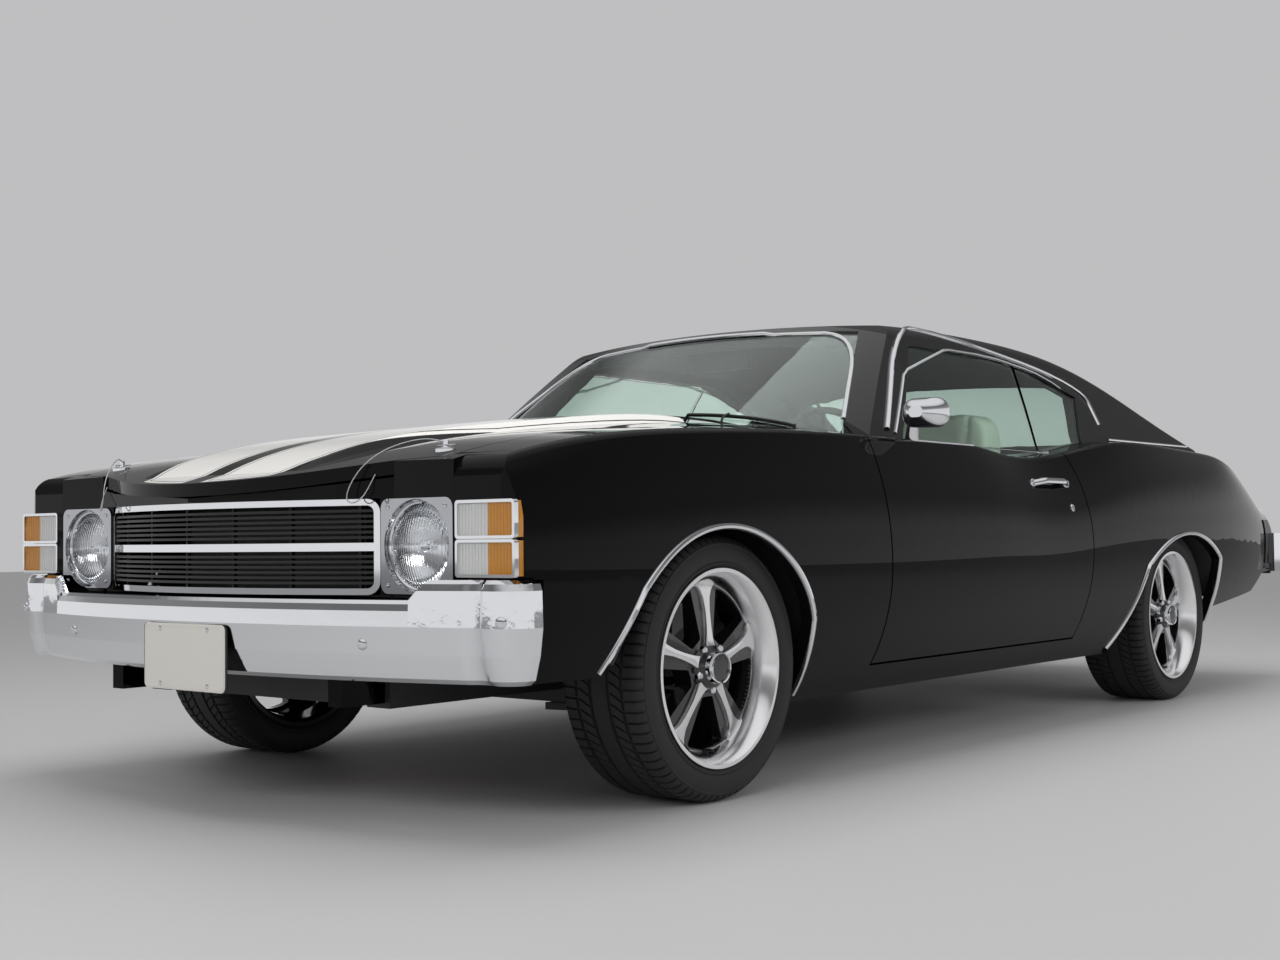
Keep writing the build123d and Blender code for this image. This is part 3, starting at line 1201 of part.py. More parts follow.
# Front control arms with their coil springs
with BuildPart() as front_arms:
    arm_plan = [(395, -85), (KINGPIN_X - 30, -24), (KINGPIN_X + 12, -17), (KINGPIN_X + 12, 17)]
    arm_plan += [(KINGPIN_X - 30, 24)]
    arm_plan += [(395, 85), (395, 50), (560, 10), (560, -10), (395, -50)]
    for arm_z in (ARM_LOW - SEAT_GAP - ARM_THICK, ARM_HIGH + SEAT_GAP):
        plan_prism(arm_plan, arm_z, arm_z + ARM_THICK)
        with Locations((540, FRONT_AXLE_Y, arm_z + ARM_THICK / 2)):
            Cylinder(56, ARM_THICK)
    with Locations((540, FRONT_AXLE_Y, TYRE_RADIUS)):
        Cylinder(48, ARM_HIGH - ARM_LOW + 4)
    block((395, -64, ARM_LOW - SEAT_GAP - ARM_THICK), (440, 64, ARM_LOW - SEAT_GAP))
with BuildPart() as front_suspension:
    add(front_arms.part)
    mirror(front_arms.part, about=Plane.YZ)
save(front_suspension, "front_suspension")

# Exhaust
with BuildPart() as exhaust:
    for side in (-1, 1):
        pipe_x = side * PIPE_X
        with BuildLine(mode=Mode.PRIVATE) as pipe_path:
            FilletPolyline(
                (pipe_x, at(150), 560), (pipe_x, at(150), PIPE_Z), (pipe_x, at(2440), PIPE_Z), radius=70
            )
        pipe_top = Plane(origin=(pipe_x, at(150), 560), z_dir=(0, 0, -1))
        with BuildSketch(pipe_top, mode=Mode.PRIVATE) as pipe_section:
            Circle(PIPE_RADIUS)
        add(sweep(pipe_section.sketch, path=pipe_path.line, mode=Mode.PRIVATE))
        with BuildSketch(Plane.XZ.offset(-at(1300)), mode=Mode.PRIVATE) as muffler:
            with Locations((pipe_x, PIPE_Z)):
                RectangleRounded(230, 72, 34)
        add(extrude(muffler.sketch, amount=-420, mode=Mode.PRIVATE))
save(exhaust, "exhaust")

with BuildPart() as radiator:
    block((-330, -615, 330.3), (330, -555, 740))
save(radiator, "radiator")

# Cabin
SEAT_X, SEAT_HALF = 395, 240
SEAT_CUSHION = [(1330, 350), (1360, 318.3), (1800, 318.3), (1830, 480), (1400, 505), (1340, 480)]
SEAT_BACK = [(1835, 470), (1930, 470), (2010, 960), (1990, 1030), (1950, 1030), (1920, 960), (1830, 560)]
REAR_CUSHION = [(2100, 318.3), (2298, 318.3), (2390, 500.3), (2440, 500.3)]
REAR_CUSHION += [(2440, 525), (2110, 485), (2095, 460)]
REAR_BACK = [(2446, 500.3), (2590, 500.3), (2680, 890), (2640, 915), (2590, 905), (2446, 560)]

with BuildPart() as front_seats:
    for side in (-1, 1):
        low_x, high_x = sorted((side * (SEAT_X - SEAT_HALF), side * (SEAT_X + SEAT_HALF)))
        side_prism(SEAT_CUSHION, low_x, high_x)
        side_prism(SEAT_BACK, low_x + 15, high_x - 15)
        block((low_x + 40, 1800, 350), (high_x - 40, 1900, 475))
save(front_seats, "front_seats")

with BuildPart() as rear_seat:
    side_prism(REAR_CUSHION, -600, 600)
    side_prism(REAR_BACK, -600, 600)
    block((-560, 2420, 502), (560, 2460, 520))
    tunnel_room = TUNNEL_HALF + SEAT_GAP
    block((-tunnel_room, 2000, 0), (tunnel_room, 2470, TUNNEL_HIGH + SEAT_GAP), mode=Mode.SUBTRACT)
save(rear_seat, "rear_seat")

# Steering wheel and dashboard
STEERING_X, STEERING_STATION, STEERING_Z = 385, 1290, 838
COLUMN_TILT = 22
STEERING_RADIUS = 190
column_dir = (0, cos(radians(COLUMN_TILT)), sin(radians(COLUMN_TILT)))
steering_centre = (STEERING_X, at(STEERING_STATION), STEERING_Z)
steering_plane = Plane(origin=steering_centre, x_dir=(1, 0, 0), z_dir=column_dir)

with BuildPart() as dashboard:
    dash = [(765, 800), (765, 862), (1000, 888), (1018, 866), (1008, 750), (965, 650), (880, 650)]
    side_prism(dash, -FLOOR_HALF, FLOOR_HALF)
    with Locations(steering_plane.offset(-30 - SEAT_GAP)):
        Cylinder(24, 290, align=(Align.CENTER, Align.CENTER, Align.MAX))
save(dashboard, "dashboard")

with BuildPart() as steering_wheel:
    with Locations(steering_plane):
        Torus(STEERING_RADIUS, 11)
        Cylinder(30, 30, align=(Align.CENTER, Align.CENTER, Align.MAX))
        Cylinder(52, 18)
    with BuildSketch(steering_plane.offset(-4)) as spokes:
        for angle in (0, 180, 270):
            with Locations(Rot(0, 0, angle)):
                with Locations((STEERING_RADIUS / 2, 0)):
                    Rectangle(STEERING_RADIUS - 4, 26)
    extrude(spokes.sketch, amount=6)
save(steering_wheel, "steering_wheel")

with BuildPart() as inner_mirror:
    with Locations((0, at(1210), 1196)):
        Box(240, 22, 62)
    with Locations(Plane(origin=(0, at(1212), 1205), x_dir=(1, 0, 0), z_dir=(0, 0.25, 1))):
        Cylinder(8, 90, align=ON_BASE)
    add(roof_volume(ROOF_THICKNESS + SEAT_GAP), mode=Mode.INTERSECT)
save(inner_mirror, "inner_mirror")

# Door mirror on the top of each door
MIRROR_X, MIRROR_STATION, MIRROR_Z = 926, 900, 962
# Mirror head sections: distance behind the head's middle, width, height, corner radius
MIRROR_HEAD = [(-44, 44, 30, 14), (-22, 108, 68, 30), (12, 132, 84, 36), (30, 130, 82, 34)]

with BuildPart() as mirror_foot:
    with BuildSketch(Plane(origin=(842, at(978), 870), x_dir=(0, 1, 0), z_dir=(0, 0, 1))):
        Ellipse(34, 17)
    with BuildSketch(Plane(origin=(880, at(925), 955), x_dir=(0, 1, 0), z_dir=(0.5, -0.6, 1))):
        Ellipse(16, 12)
    loft()
    add(grown, mode=Mode.SUBTRACT)

with BuildPart() as door_mirror:
    for behind, width, height, corner in MIRROR_HEAD:
        with BuildSketch(upright(MIRROR_STATION + behind)):
            with Locations((MIRROR_X, MIRROR_Z)):
                RectangleRounded(width, height, corner)
    loft()
    add(mirror_foot.part)
save_pair(door_mirror, "door_mirror")

# Hood pins with their lanyards, which ride on the hood
PIN_X, PIN_STATION = 611, -632
PIN_PLATE_RADIUS = 24
LANYARD_RADIUS = 1.5
pin_z = skin_z(PIN_X, PIN_STATION)
with BuildPart() as hood_pins:
    for side in (-1, 1):
        with Locations((side * PIN_X, at(PIN_STATION), pin_z - 40)):
            Cylinder(PIN_PLATE_RADIUS, 46, align=ON_BASE)
            Cylinder(6, 66, align=ON_BASE)
    add(grown, mode=Mode.SUBTRACT)
    block((-800, -800, 0), (800, -500, 700), mode=Mode.SUBTRACT)
save(hood_pins, "hood_pins")

# Route of the left lanyard from the pin's ring over the hood's front edge and back to its lip: x, station, z
LANYARD_ROUTE = [
    (605.2, -635.5, 836),
    (590, -652, 842),
    (566, -676, 840),
    (540, -702, 831),
    (514, -730, 815),
    (490, -758, 788),
    (472, -776, 754),
    (462, -784, 724),
    (466, -786, 706),
    (482, -779, 703),
    (496, -768, 716),
    (504, -757, 738),
    (508, -743, 765),
]


def tube(points, radius):
    """Tube along straight runs joined by arcs as large as the runs allow; prints its tightest arc."""
    corners = [Vector(*p) for p in points]
    radii = []
    for before, corner, after in zip(corners, corners[1:], corners[2:]):
        turn = radians((corner - before).get_angle(after - corner))
        shorter = min((corner - before).length, (after - corner).length)
        radii.append(0.45 * shorter / tan(turn / 2))
    with BuildPart() as cord:
        with BuildLine() as path:
            FilletPolyline(*points, radius=radii)
        route = path.wires()[0]
        with BuildSketch(Plane(origin=points[0], z_dir=route % 0)):
            Circle(radius)
        sweep()
    print("cord radii", [round(r) for r in radii], "length", round(route.length, 1))
    return cord


lanyard = tube([(x, at(station), z) for x, station, z in LANYARD_ROUTE], LANYARD_RADIUS)
with BuildPart() as lanyards:
    add(lanyard.part)
    mirror(lanyard.part, about=Plane.YZ)
save(lanyards, "lanyards")
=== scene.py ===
from functools import partial
from math import atan2, ceil, cos, hypot, pi, radians, sin, tau

import bmesh
import bpy
from bpy.props import FloatProperty, FloatVectorProperty, IntProperty, PointerProperty
from mathutils import Matrix, Vector
from mathutils.bvhtree import BVHTree


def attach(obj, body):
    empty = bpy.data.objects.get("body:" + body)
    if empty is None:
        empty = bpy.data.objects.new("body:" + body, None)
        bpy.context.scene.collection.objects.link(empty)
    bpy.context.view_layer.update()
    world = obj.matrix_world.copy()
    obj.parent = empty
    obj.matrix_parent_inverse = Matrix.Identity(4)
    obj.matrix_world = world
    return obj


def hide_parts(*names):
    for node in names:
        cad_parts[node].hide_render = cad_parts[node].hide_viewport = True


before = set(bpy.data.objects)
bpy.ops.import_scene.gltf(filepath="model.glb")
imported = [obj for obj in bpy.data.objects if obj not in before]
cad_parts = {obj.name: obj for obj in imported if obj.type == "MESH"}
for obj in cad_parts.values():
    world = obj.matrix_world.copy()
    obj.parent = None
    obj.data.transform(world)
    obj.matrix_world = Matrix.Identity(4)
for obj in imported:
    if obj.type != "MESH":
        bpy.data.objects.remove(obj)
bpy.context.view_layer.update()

bl_info = {
    "name": "Muscle Car Finish",
    "version": (1, 0, 0),
    "blender": (4, 5, 0),
    "location": "View3D > Sidebar > Muscle Car",
    "description": "Paint, trim, wheels, lamps and cabin of a two-door hardtop muscle car",
    "category": "Object",
}

# Row frame in metres: +X the car's left, -Y its nose, +Z up
FRONT_AXLE_Y = -1.6035
REAR_AXLE_Y = 1.2415
AXLE_Z = 0.314
WHEELS = [
    # node ending, wheel centre x, axle y, side
    ("front_left", 0.765, FRONT_AXLE_Y, 1),
    ("front_right", -0.765, FRONT_AXLE_Y, -1),
    ("rear_left", 0.760, REAR_AXLE_Y, 1),
    ("rear_right", -0.760, REAR_AXLE_Y, -1),
]
SIDES = (("left", 1), ("right", -1))
AHEAD, BACK, DOWN, UP = Vector((0, -1, 0)), Vector((0, 1, 0)), Vector((0, 0, -1)), Vector((0, 0, 1))
# Where rays start, clear of the car: x, y and z
CLEAR_SIDE, CLEAR_END, CLEAR_TOP = 1.3, 3.0, 2.0


def station(distance):
    """Row-frame y of a distance behind the front axle."""
    return FRONT_AXLE_Y + distance


def at(x, distance, z):
    """Point by x, distance behind the front axle and height."""
    return Vector((x, station(distance), z))


# Shaders


def add_node(tree, kind, inputs=None, **settings):
    """Node with settings; inputs map a socket's name or number to a value or to the socket that feeds it."""
    node = tree.nodes.new(f"ShaderNode{kind}")
    for label, value in settings.items():
        setattr(node, label, value)
    for label, value in (inputs or {}).items():
        if isinstance(value, bpy.types.NodeSocket):
            tree.links.new(value, node.inputs[label])
        else:
            node.inputs[label].default_value = value
    return node


def math_node(tree, operation, *values):
    """Result of a math node fed by sockets or numbers."""
    return add_node(tree, "Math", dict(enumerate(values)), operation=operation).outputs[0]


def own_place(tree):
    """Place in the piece's own mesh."""
    return add_node(tree, "TexCoord").outputs["Object"]


def axis_value(tree, axis):
    """One coordinate in the piece's own mesh."""
    return add_node(tree, "SeparateXYZ", {0: own_place(tree)}).outputs[axis]


def soft_step(tree, value, limit, edge=0.0008):
    """0 where value is below limit, 1 where it is more than edge above it."""
    past = math_node(tree, "SUBTRACT", value, limit)
    return add_node(tree, "MapRange", {"Value": past, "From Min": 0.0, "From Max": edge}).outputs[0]


def mix_colours(tree, factor, first, second):
    """Colour mixed by a factor; colours may be tuples or sockets."""
    first, second = ((*c, 1.0) if isinstance(c, tuple) else c for c in (first, second))
    return add_node(tree, "Mix", {0: factor, 6: first, 7: second}, data_type="RGBA").outputs[2]


def group_nodes(name, inputs, outputs):
    """Shader group with number sockets; returns it with the sockets of its inner ends."""
    group = bpy.data.node_groups.new(name, "ShaderNodeTree")
    for label, default in inputs.items():
        socket = group.interface.new_socket(label, in_out="INPUT", socket_type="NodeSocketFloat")
        socket.default_value = default
    for label in outputs:
        group.interface.new_socket(label, in_out="OUTPUT", socket_type="NodeSocketFloat")
    return group, group.nodes.new("NodeGroupInput").outputs, group.nodes.new("NodeGroupOutput").inputs


def build_grain_group():
    """Surface variation: a soft mottle for roughness and a fine height for bumps."""
    group, source, sink = group_nodes(
        "Surface grain", {"Scale": 60.0, "Roughness": 0.4, "Mottle": 0.05}, ("Roughness", "Height")
    )
    place = own_place(group)
    fine = add_node(group, "TexNoise", {"Vector": place, "Scale": source["Scale"], "Detail": 6.0})
    broad = add_node(group, "TexNoise", {"Vector": place, "Scale": 5.0, "Detail": 3.0})
    centred = math_node(group, "SUBTRACT", broad.outputs["Fac"], 0.5)
    rough = math_node(group, "MULTIPLY_ADD", centred, source["Mottle"], source["Roughness"])
    group.links.new(rough, sink["Roughness"])
    group.links.new(fine.outputs["Fac"], sink["Height"])
    return group


def build_pebble_group():
    """Embossed vinyl or leather: small rounded cells."""
    group, source, sink = group_nodes("Pebbled vinyl", {"Scale": 500.0}, ("Height",))
    cells = add_node(
        group, "TexVoronoi", {"Vector": own_place(group), "Scale": source["Scale"]}, feature="SMOOTH_F1"
    )
    group.links.new(math_node(group, "SUBTRACT", 1.0, cells.outputs["Distance"]), sink["Height"])
    return group


def build_rib_group():
    """Moulded ribs of a lens, running up and down, as a height."""
    group, source, sink = group_nodes("Lens ribs", {"Ribs per metre": 160.0}, ("Height",))
    phase = math_node(group, "MULTIPLY", axis_value(group, "X"), source["Ribs per metre"])
    wave = math_node(group, "ABSOLUTE", math_node(group, "SINE", math_node(group, "MULTIPLY", phase, pi)))
    group.links.new(wave, sink["Height"])
    return group


groups = {}
finishes = {}


def principled(material):
    """Input sockets of a material's Principled node."""
    return material.node_tree.nodes["Principled BSDF"].inputs


def add_bump(material, height, strength, distance):
    """Bump node from a height socket into the material's normal."""
    tree = material.node_tree
    bump = add_node(tree, "Bump", {"Strength": strength, "Distance": distance, "Height": height})
    tree.links.new(bump.outputs["Normal"], principled(material)["Normal"])


def finish(name, colour, roughness, grain=0.0, scale=60.0, mottle=0.05, distance=0.001, **sockets):
    """Principled material with mottled roughness and a fine bump; sockets set other values by socket name."""
    material = finishes[name] = bpy.data.materials.new(name)
    material.use_nodes = True
    tree = material.node_tree
    principled(material)["Base Color"].default_value = (*colour, 1.0)
    for label, value in sockets.items():
        principled(material)[label.replace("_", " ").title().replace("Ior", "IOR")].default_value = value
    surface = add_node(
        tree, "Group", {"Scale": scale, "Roughness": roughness, "Mottle": mottle}, node_tree=groups["grain"]
    )
    tree.links.new(surface.outputs["Roughness"], principled(material)["Roughness"])
    if grain:
        add_bump(material, surface.outputs["Height"], grain, distance)
    return material


def let_light_through(material, tint):
    """Glass that lamps shine through: shadow rays pass with a tint."""
    tree = material.node_tree
    clear = add_node(tree, "BsdfTransparent", {"Color": (*tint, 1.0)})
    mix = add_node(tree, "MixShader", {
        0: add_node(tree, "LightPath").outputs["Is Shadow Ray"],
        1: tree.nodes["Principled BSDF"].outputs[0],
        2: clear.outputs[0],
    })
    tree.links.new(mix.outputs[0], tree.nodes["Material Output"].inputs["Surface"])


def colour_by(material, mask, low, high):
    """Base colour that goes from low to high with a mask."""
    tree = material.node_tree
    tree.links.new(mix_colours(tree, mask, low, high), principled(material)["Base Color"])


def pebble_height(tree, scale):
    """Height of pebbled vinyl."""
    return add_node(tree, "Group", {"Scale": scale}, node_tree=groups["pebble"]).outputs["Height"]


def dress_roof(material):
    """Roof cover of grained vinyl behind the pillars, and gloss paint on the pillars ahead of it."""
    tree = material.node_tree
    calc = partial(math_node, tree)
    covered = soft_step(tree, axis_value(tree, "Y"), station(PILLAR_REAR), 0.001)
    add_bump(material, calc("MULTIPLY", pebble_height(tree, 420.0), covered), 0.5, 0.0008)
    sockets = principled(material)
    rough = sockets["Roughness"].links[0].from_socket
    tree.links.new(calc("MULTIPLY", rough, calc("MULTIPLY_ADD", covered, 0.7, 0.3)), sockets["Roughness"])
    tree.links.new(calc("SUBTRACT", 1.0, covered), sockets["Coat Weight"])


def add_ribs(material, per_metre, strength):
    """Moulded upright ribs on a lens."""
    ribs = add_node(material.node_tree, "Group", {"Ribs per metre": per_metre}, node_tree=groups["ribs"])
    add_bump(material, ribs.outputs["Height"], strength, 0.002)


CHROME = (0.83, 0.84, 0.86)
PAINT_SHADE = (0.01, 0.01, 0.01)
CLEAR_LENS = (0.86, 0.87, 0.86)
BUMPER_FOOT_Z = 0.324
PILLAR_REAR = 1.185
CORNER_SPLIT_X = 0.837
STRIPE_INNER_X, STRIPE_OUTER_X = 0.034, 0.283
STRIPE_FLARE_START, STRIPE_FLARE_LENGTH, STRIPE_FLARE = -0.67, 0.5, 0.045
STRIPE_CORNER_X, STRIPE_CORNER_LEAD, STRIPE_CORNER_SLOPE = 0.225, 0.008, (0.32, -0.95)
STRIPE_LINE = (0.012, 0.0165)
HOOD_STRIPE_STATION, HOOD_STRIPE_BOW, HOOD_STRIPE_REAR_Y = -0.852, 0.62, 2.0
LID_STRIPE_YS = (1.0, 3.0)


def paint_stripes(material, colour, stripe, front_y, front_bow, rear_y):
    """Two broad stripes with a thin dark line inside their border, by the panel's own coordinates."""
    tree = material.node_tree
    calc = partial(math_node, tree)
    across = calc("ABSOLUTE", axis_value(tree, "X"))
    along = axis_value(tree, "Y")
    flare = soft_step(tree, along, station(STRIPE_FLARE_START), STRIPE_FLARE_LENGTH)
    border = calc("MULTIPLY_ADD", flare, STRIPE_FLARE, STRIPE_OUTER_X)
    bow = calc("MULTIPLY", calc("MULTIPLY", across, across), front_bow)
    lead = calc("SUBTRACT", along, front_y - STRIPE_CORNER_LEAD)
    lead = calc("MULTIPLY", lead, STRIPE_CORNER_SLOPE[0])
    past_corner = calc("SUBTRACT", across, STRIPE_CORNER_X)
    depth = calc("SUBTRACT", across, STRIPE_INNER_X)
    for edge in (
        calc("SUBTRACT", border, across),
        calc("SUBTRACT", calc("SUBTRACT", along, bow), front_y),
        calc("SUBTRACT", rear_y, along),
        calc("MULTIPLY_ADD", past_corner, STRIPE_CORNER_SLOPE[1], lead),
    ):
        depth = calc("MINIMUM", depth, edge)
    line = calc("MULTIPLY", soft_step(tree, depth, STRIPE_LINE[0]), soft_step(tree, STRIPE_LINE[1], depth))
    colour_by(material, calc("SUBTRACT", soft_step(tree, depth, 0.0), line), colour, stripe)


def build_finishes(look):
    """All the materials of the car."""
    groups.update(grain=build_grain_group(), pebble=build_pebble_group(), ribs=build_rib_group())
    black, stripe = tuple(look.body_colour), tuple(look.stripe_colour)
    gloss = dict(
        grain=0.012, scale=420.0, mottle=0.03, specular_ior_level=0.0, coat_weight=1.0, coat_ior=1.2,
        coat_roughness=0.015,
    )
    finish("Black body paint", black, 0.12, **gloss)
    hood = finish("Striped hood paint", black, 0.12, **gloss)
    paint_stripes(hood, black, stripe, station(HOOD_STRIPE_STATION), HOOD_STRIPE_BOW, HOOD_STRIPE_REAR_Y)
    lid = finish("Striped lid paint", black, 0.12, **gloss)
    paint_stripes(lid, black, stripe, LID_STRIPE_YS[0], 0.0, LID_STRIPE_YS[1])
    vinyl = finish(
        "Grained roof vinyl", tuple(look.roof_colour), 0.42, mottle=0.12, specular_ior_level=0.25,
        coat_ior=1.27, coat_roughness=0.02,
    )
    dress_roof(vinyl)
    finish("Bright chrome", CHROME, 0.045, grain=0.006, scale=30.0, mottle=0.03, metallic=1.0)
    pressed = finish("Bumper chrome", CHROME, 0.045, 0.08, 3.5, 0.03, 0.03, metallic=1.0)
    tree = pressed.node_tree
    colour_by(pressed, soft_step(tree, axis_value(tree, "Z"), BUMPER_FOOT_Z), PAINT_SHADE, CHROME)
    finish("Dark chrome", (0.46, 0.47, 0.49), 0.07, metallic=1.0)
    finish("Machined alloy", (0.80, 0.80, 0.81), 0.17, grain=0.03, scale=260.0, mottle=0.12, metallic=1.0)
    finish("Gloss black pocket", (0.008, 0.008, 0.009), 0.10, coat_weight=0.8, coat_roughness=0.03)
    finish("Satin black trim", (0.012, 0.012, 0.012), 0.38, grain=0.1, scale=500.0, mottle=0.1)
    finish("Tread rubber", (0.018, 0.018, 0.019), 0.68, grain=0.25, scale=320.0, mottle=0.16)
    finish("Soft seal rubber", (0.010, 0.010, 0.010), 0.55, grain=0.15, scale=300.0, mottle=0.1)
    clear = dict(transmission_weight=1.0, ior=1.45)
    glass = finish("Green tinted glass", (0.80, 0.93, 0.87), 0.0, mottle=0.0, **clear)
    let_light_through(glass, (0.72, 0.86, 0.79))
    fluted = finish("Fluted lens", (0.97, 0.98, 0.99), 0.02, mottle=0.02, **clear)
    add_ribs(fluted, 130.0, 0.35)
    let_light_through(fluted, (0.95, 0.95, 0.95))
    corner = finish("Corner lens", (0.9, 0.9, 0.9), 0.05, mottle=0.02, transmission_weight=0.35, ior=1.45)
    tree = corner.node_tree
    across = math_node(tree, "ABSOLUTE", axis_value(tree, "X"))
    colour_by(corner, soft_step(tree, across, CORNER_SPLIT_X), CLEAR_LENS, tuple(look.amber_colour))
    add_ribs(corner, 110.0, 0.8)
    red = finish("Red lens", (0.55, 0.012, 0.010), 0.08, mottle=0.04, transmission_weight=0.3, ior=1.45)
    add_ribs(red, 150.0, 0.5)
    finish("Mirror silver", (0.92, 0.92, 0.93), 0.015, mottle=0.0, metallic=1.0)
    finish("Lamp silver", (0.88, 0.89, 0.91), 0.10, grain=0.1, scale=90.0, mottle=0.03, metallic=1.0)
    finish("Polished alloy", (0.94, 0.94, 0.95), 0.20, grain=0.02, scale=200.0, mottle=0.08, metallic=1.0)
    finish("Braided cable", (0.78, 0.78, 0.79), 0.28, grain=0.6, scale=1400.0, mottle=0.1, metallic=1.0)
    finish("Chassis black", (0.02, 0.02, 0.021), 0.55, grain=0.3, scale=90.0, mottle=0.3)
    finish("Cast metal", (0.10, 0.10, 0.105), 0.5, grain=0.4, scale=160.0, mottle=0.2, metallic=0.6)
    finish("Exhaust steel", (0.30, 0.29, 0.28), 0.34, grain=0.15, scale=80.0, mottle=0.25, metallic=1.0)
    finish("Engine paint", (0.30, 0.035, 0.012), 0.35, grain=0.2, scale=120.0, mottle=0.15)
    padding = finish("Pale seat vinyl", tuple(look.seat_colour), 0.42, mottle=0.12)
    add_bump(padding, pebble_height(padding.node_tree, 650.0), 0.25, 0.0006)
    finish("Loop carpet", (0.018, 0.018, 0.019), 0.95, grain=0.9, scale=420.0, mottle=0.1)
    finish("Plate white", (0.70, 0.68, 0.63), 0.30, mottle=0.05)


# Meshes


def place_piece(name, data, material, body):
    """Object of a mesh or curve with its finish, riding on a body."""
    data.name = name
    data.materials.append(finishes[material])
    piece = bpy.data.objects.new(name, data)
    bpy.context.scene.collection.objects.link(piece)
    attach(piece, body)
    return piece


def show(name, mesh, material="Bright chrome", body="body", angle=35.0):
    """Piece of a finished mesh, smooth but for edges sharper than angle."""
    mesh.shade_smooth()
    mesh.set_sharp_from_angle(angle=radians(angle))
    return place_piece(name, mesh, material, body)


def mesh_of(points, faces, merge=0.0):
    """Mesh with outward faces from points and faces."""
    mesh = bpy.data.meshes.new("Part")
    mesh.from_pydata([tuple(p) for p in points], [], faces)
    shape = bmesh.new()
    shape.from_mesh(mesh)
    if merge:
        bmesh.ops.remove_doubles(shape, verts=shape.verts, dist=merge)
    bmesh.ops.recalc_face_normals(shape, faces=shape.faces)
    shape.to_mesh(mesh)
    shape.free()
    return mesh


def gathered(meshes):
    """Points and faces of several meshes together."""
    points, faces = [], []
    for mesh in meshes:
        start = len(points)
        points += [v.co.copy() for v in mesh.vertices]
        faces += [[start + i for i in p.vertices] for p in mesh.polygons]
    return points, faces


def joined(meshes):
    """One mesh of several."""
    together = mesh_of(*gathered(meshes))
    for mesh in meshes:
        bpy.data.meshes.remove(mesh)
    return together


def grid_mesh(rows, close_rows=False, close_columns=True, caps=False, merge=0.0):
    """Mesh through rows of points."""
    count, width = len(rows), len(rows[0])
    faces = []
    for i in range(count if close_rows else count - 1):
        here, ahead = i * width, (i + 1) % count * width
        for k in range(width if close_columns else width - 1):
            beside = (k + 1) % width
            faces.append((here + k, here + beside, ahead + beside, ahead + k))
    if caps:
        faces.append(tuple(range(width)))
        faces.append(tuple(range((count - 1) * width, count * width)))
    return mesh_of([p for row in rows for p in row], faces, merge)


def sweep_mesh(path, normals, section):
    """Mesh of a section outline (across, up) carried along a path with surface normals."""
    rows = []
    last = len(path) - 1
    for i, (point, up) in enumerate(zip(path, normals)):
        along = (path[min(i + 1, last)] - path[max(i - 1, 0)]).normalized()
        across = along.cross(up).normalized()
        upright = across.cross(along).normalized()
        rows.append([point + across * a + upright * h for a, h in section])
    return grid_mesh(rows, caps=True)


def lathe_mesh(profile, centre, direction, segments, closed=False):
    """Mesh turned about an axis; profile points are (distance along direction, radius)."""
    along = Vector(direction).normalized()
    side = along.orthogonal().normalized()
    other = along.cross(side)
    rows = []
    for i in range(segments):
        turn = tau * i / segments
        spoke = side * cos(turn) + other * sin(turn)
        rows.append([Vector(centre) + along * a + spoke * r for a, r in profile])
    return grid_mesh(rows, close_rows=True, close_columns=closed, merge=1e-6)


def box_mesh(xs, distances, heights, round_off, segments):
    """Box with rounded edges between two x, two distances behind the front axle and two heights."""
    low, high = (at(*corner) for corner in zip(sorted(xs), distances, heights))
    shape = bmesh.new()
    bmesh.ops.create_cube(shape, size=1.0)
    fit = Matrix.Translation((low + high) / 2) @ Matrix.Diagonal((*(high - low), 1))
    bmesh.ops.transform(shape, matrix=fit, verts=shape.verts)
    bmesh.ops.bevel(
        shape, geom=shape.edges[:], offset=round_off, segments=segments, affect="EDGES", profile=0.5
    )
    mesh = bpy.data.meshes.new("Box")
    shape.to_mesh(mesh)
    shape.free()
    return mesh


def outline(width, height, corner, steps=6):
    """Points round a rectangle with rounded corners, about its centre."""
    points = []
    for quarter, (sx, sy) in enumerate(((1, 1), (-1, 1), (-1, -1), (1, -1))):
        for k in range(steps + 1):
            turn = (quarter + k / steps) * pi / 2
            points.append((
                sx * (width / 2 - corner) + corner * cos(turn),
                sy * (height / 2 - corner) + corner * sin(turn),
            ))
    return points


def frame_mesh(xs, heights, y, width, depth, corner):
    """Rounded rectangular ring facing the nose or tail, at a y, of a rectangular section."""
    middle = Vector((sum(xs) / 2, y, sum(heights) / 2))
    span_x, span_z = xs[1] - xs[0], heights[1] - heights[0]
    outer = [middle + Vector((x, 0, z)) for x, z in outline(span_x, span_z, corner)]
    hole = outline(span_x - 2 * width, span_z - 2 * width, corner - width / 2)
    inner = [middle + Vector((x, 0, z)) for x, z in hole]
    back = Vector((0, depth, 0))
    return grid_mesh([[a, b, b + back, a + back] for a, b in zip(outer, inner)], close_rows=True)


def plate_mesh(centre, facing, width, height, corner, depth, dome=0.0):
    """Upright slab with rounded corners and a bevelled face, which stands depth proud of its centre."""
    facing = Vector(facing).normalized()
    side = UP.cross(facing)
    bevel = min(depth, corner) * 0.4
    rows = []
    for rise, shrink in ((0.0, 0.0), (depth - bevel, 0.0), (depth, bevel), (depth + dome, corner)):
        narrow, low = 1 - 2 * shrink / width, 1 - 2 * shrink / height
        rows.append([
            Vector(centre) + facing * rise + side * x * narrow + UP * y * low
            for x, y in outline(width, height, corner)
        ])
    return grid_mesh(rows, caps=True)


CHANNEL_DEPTH = 0.010


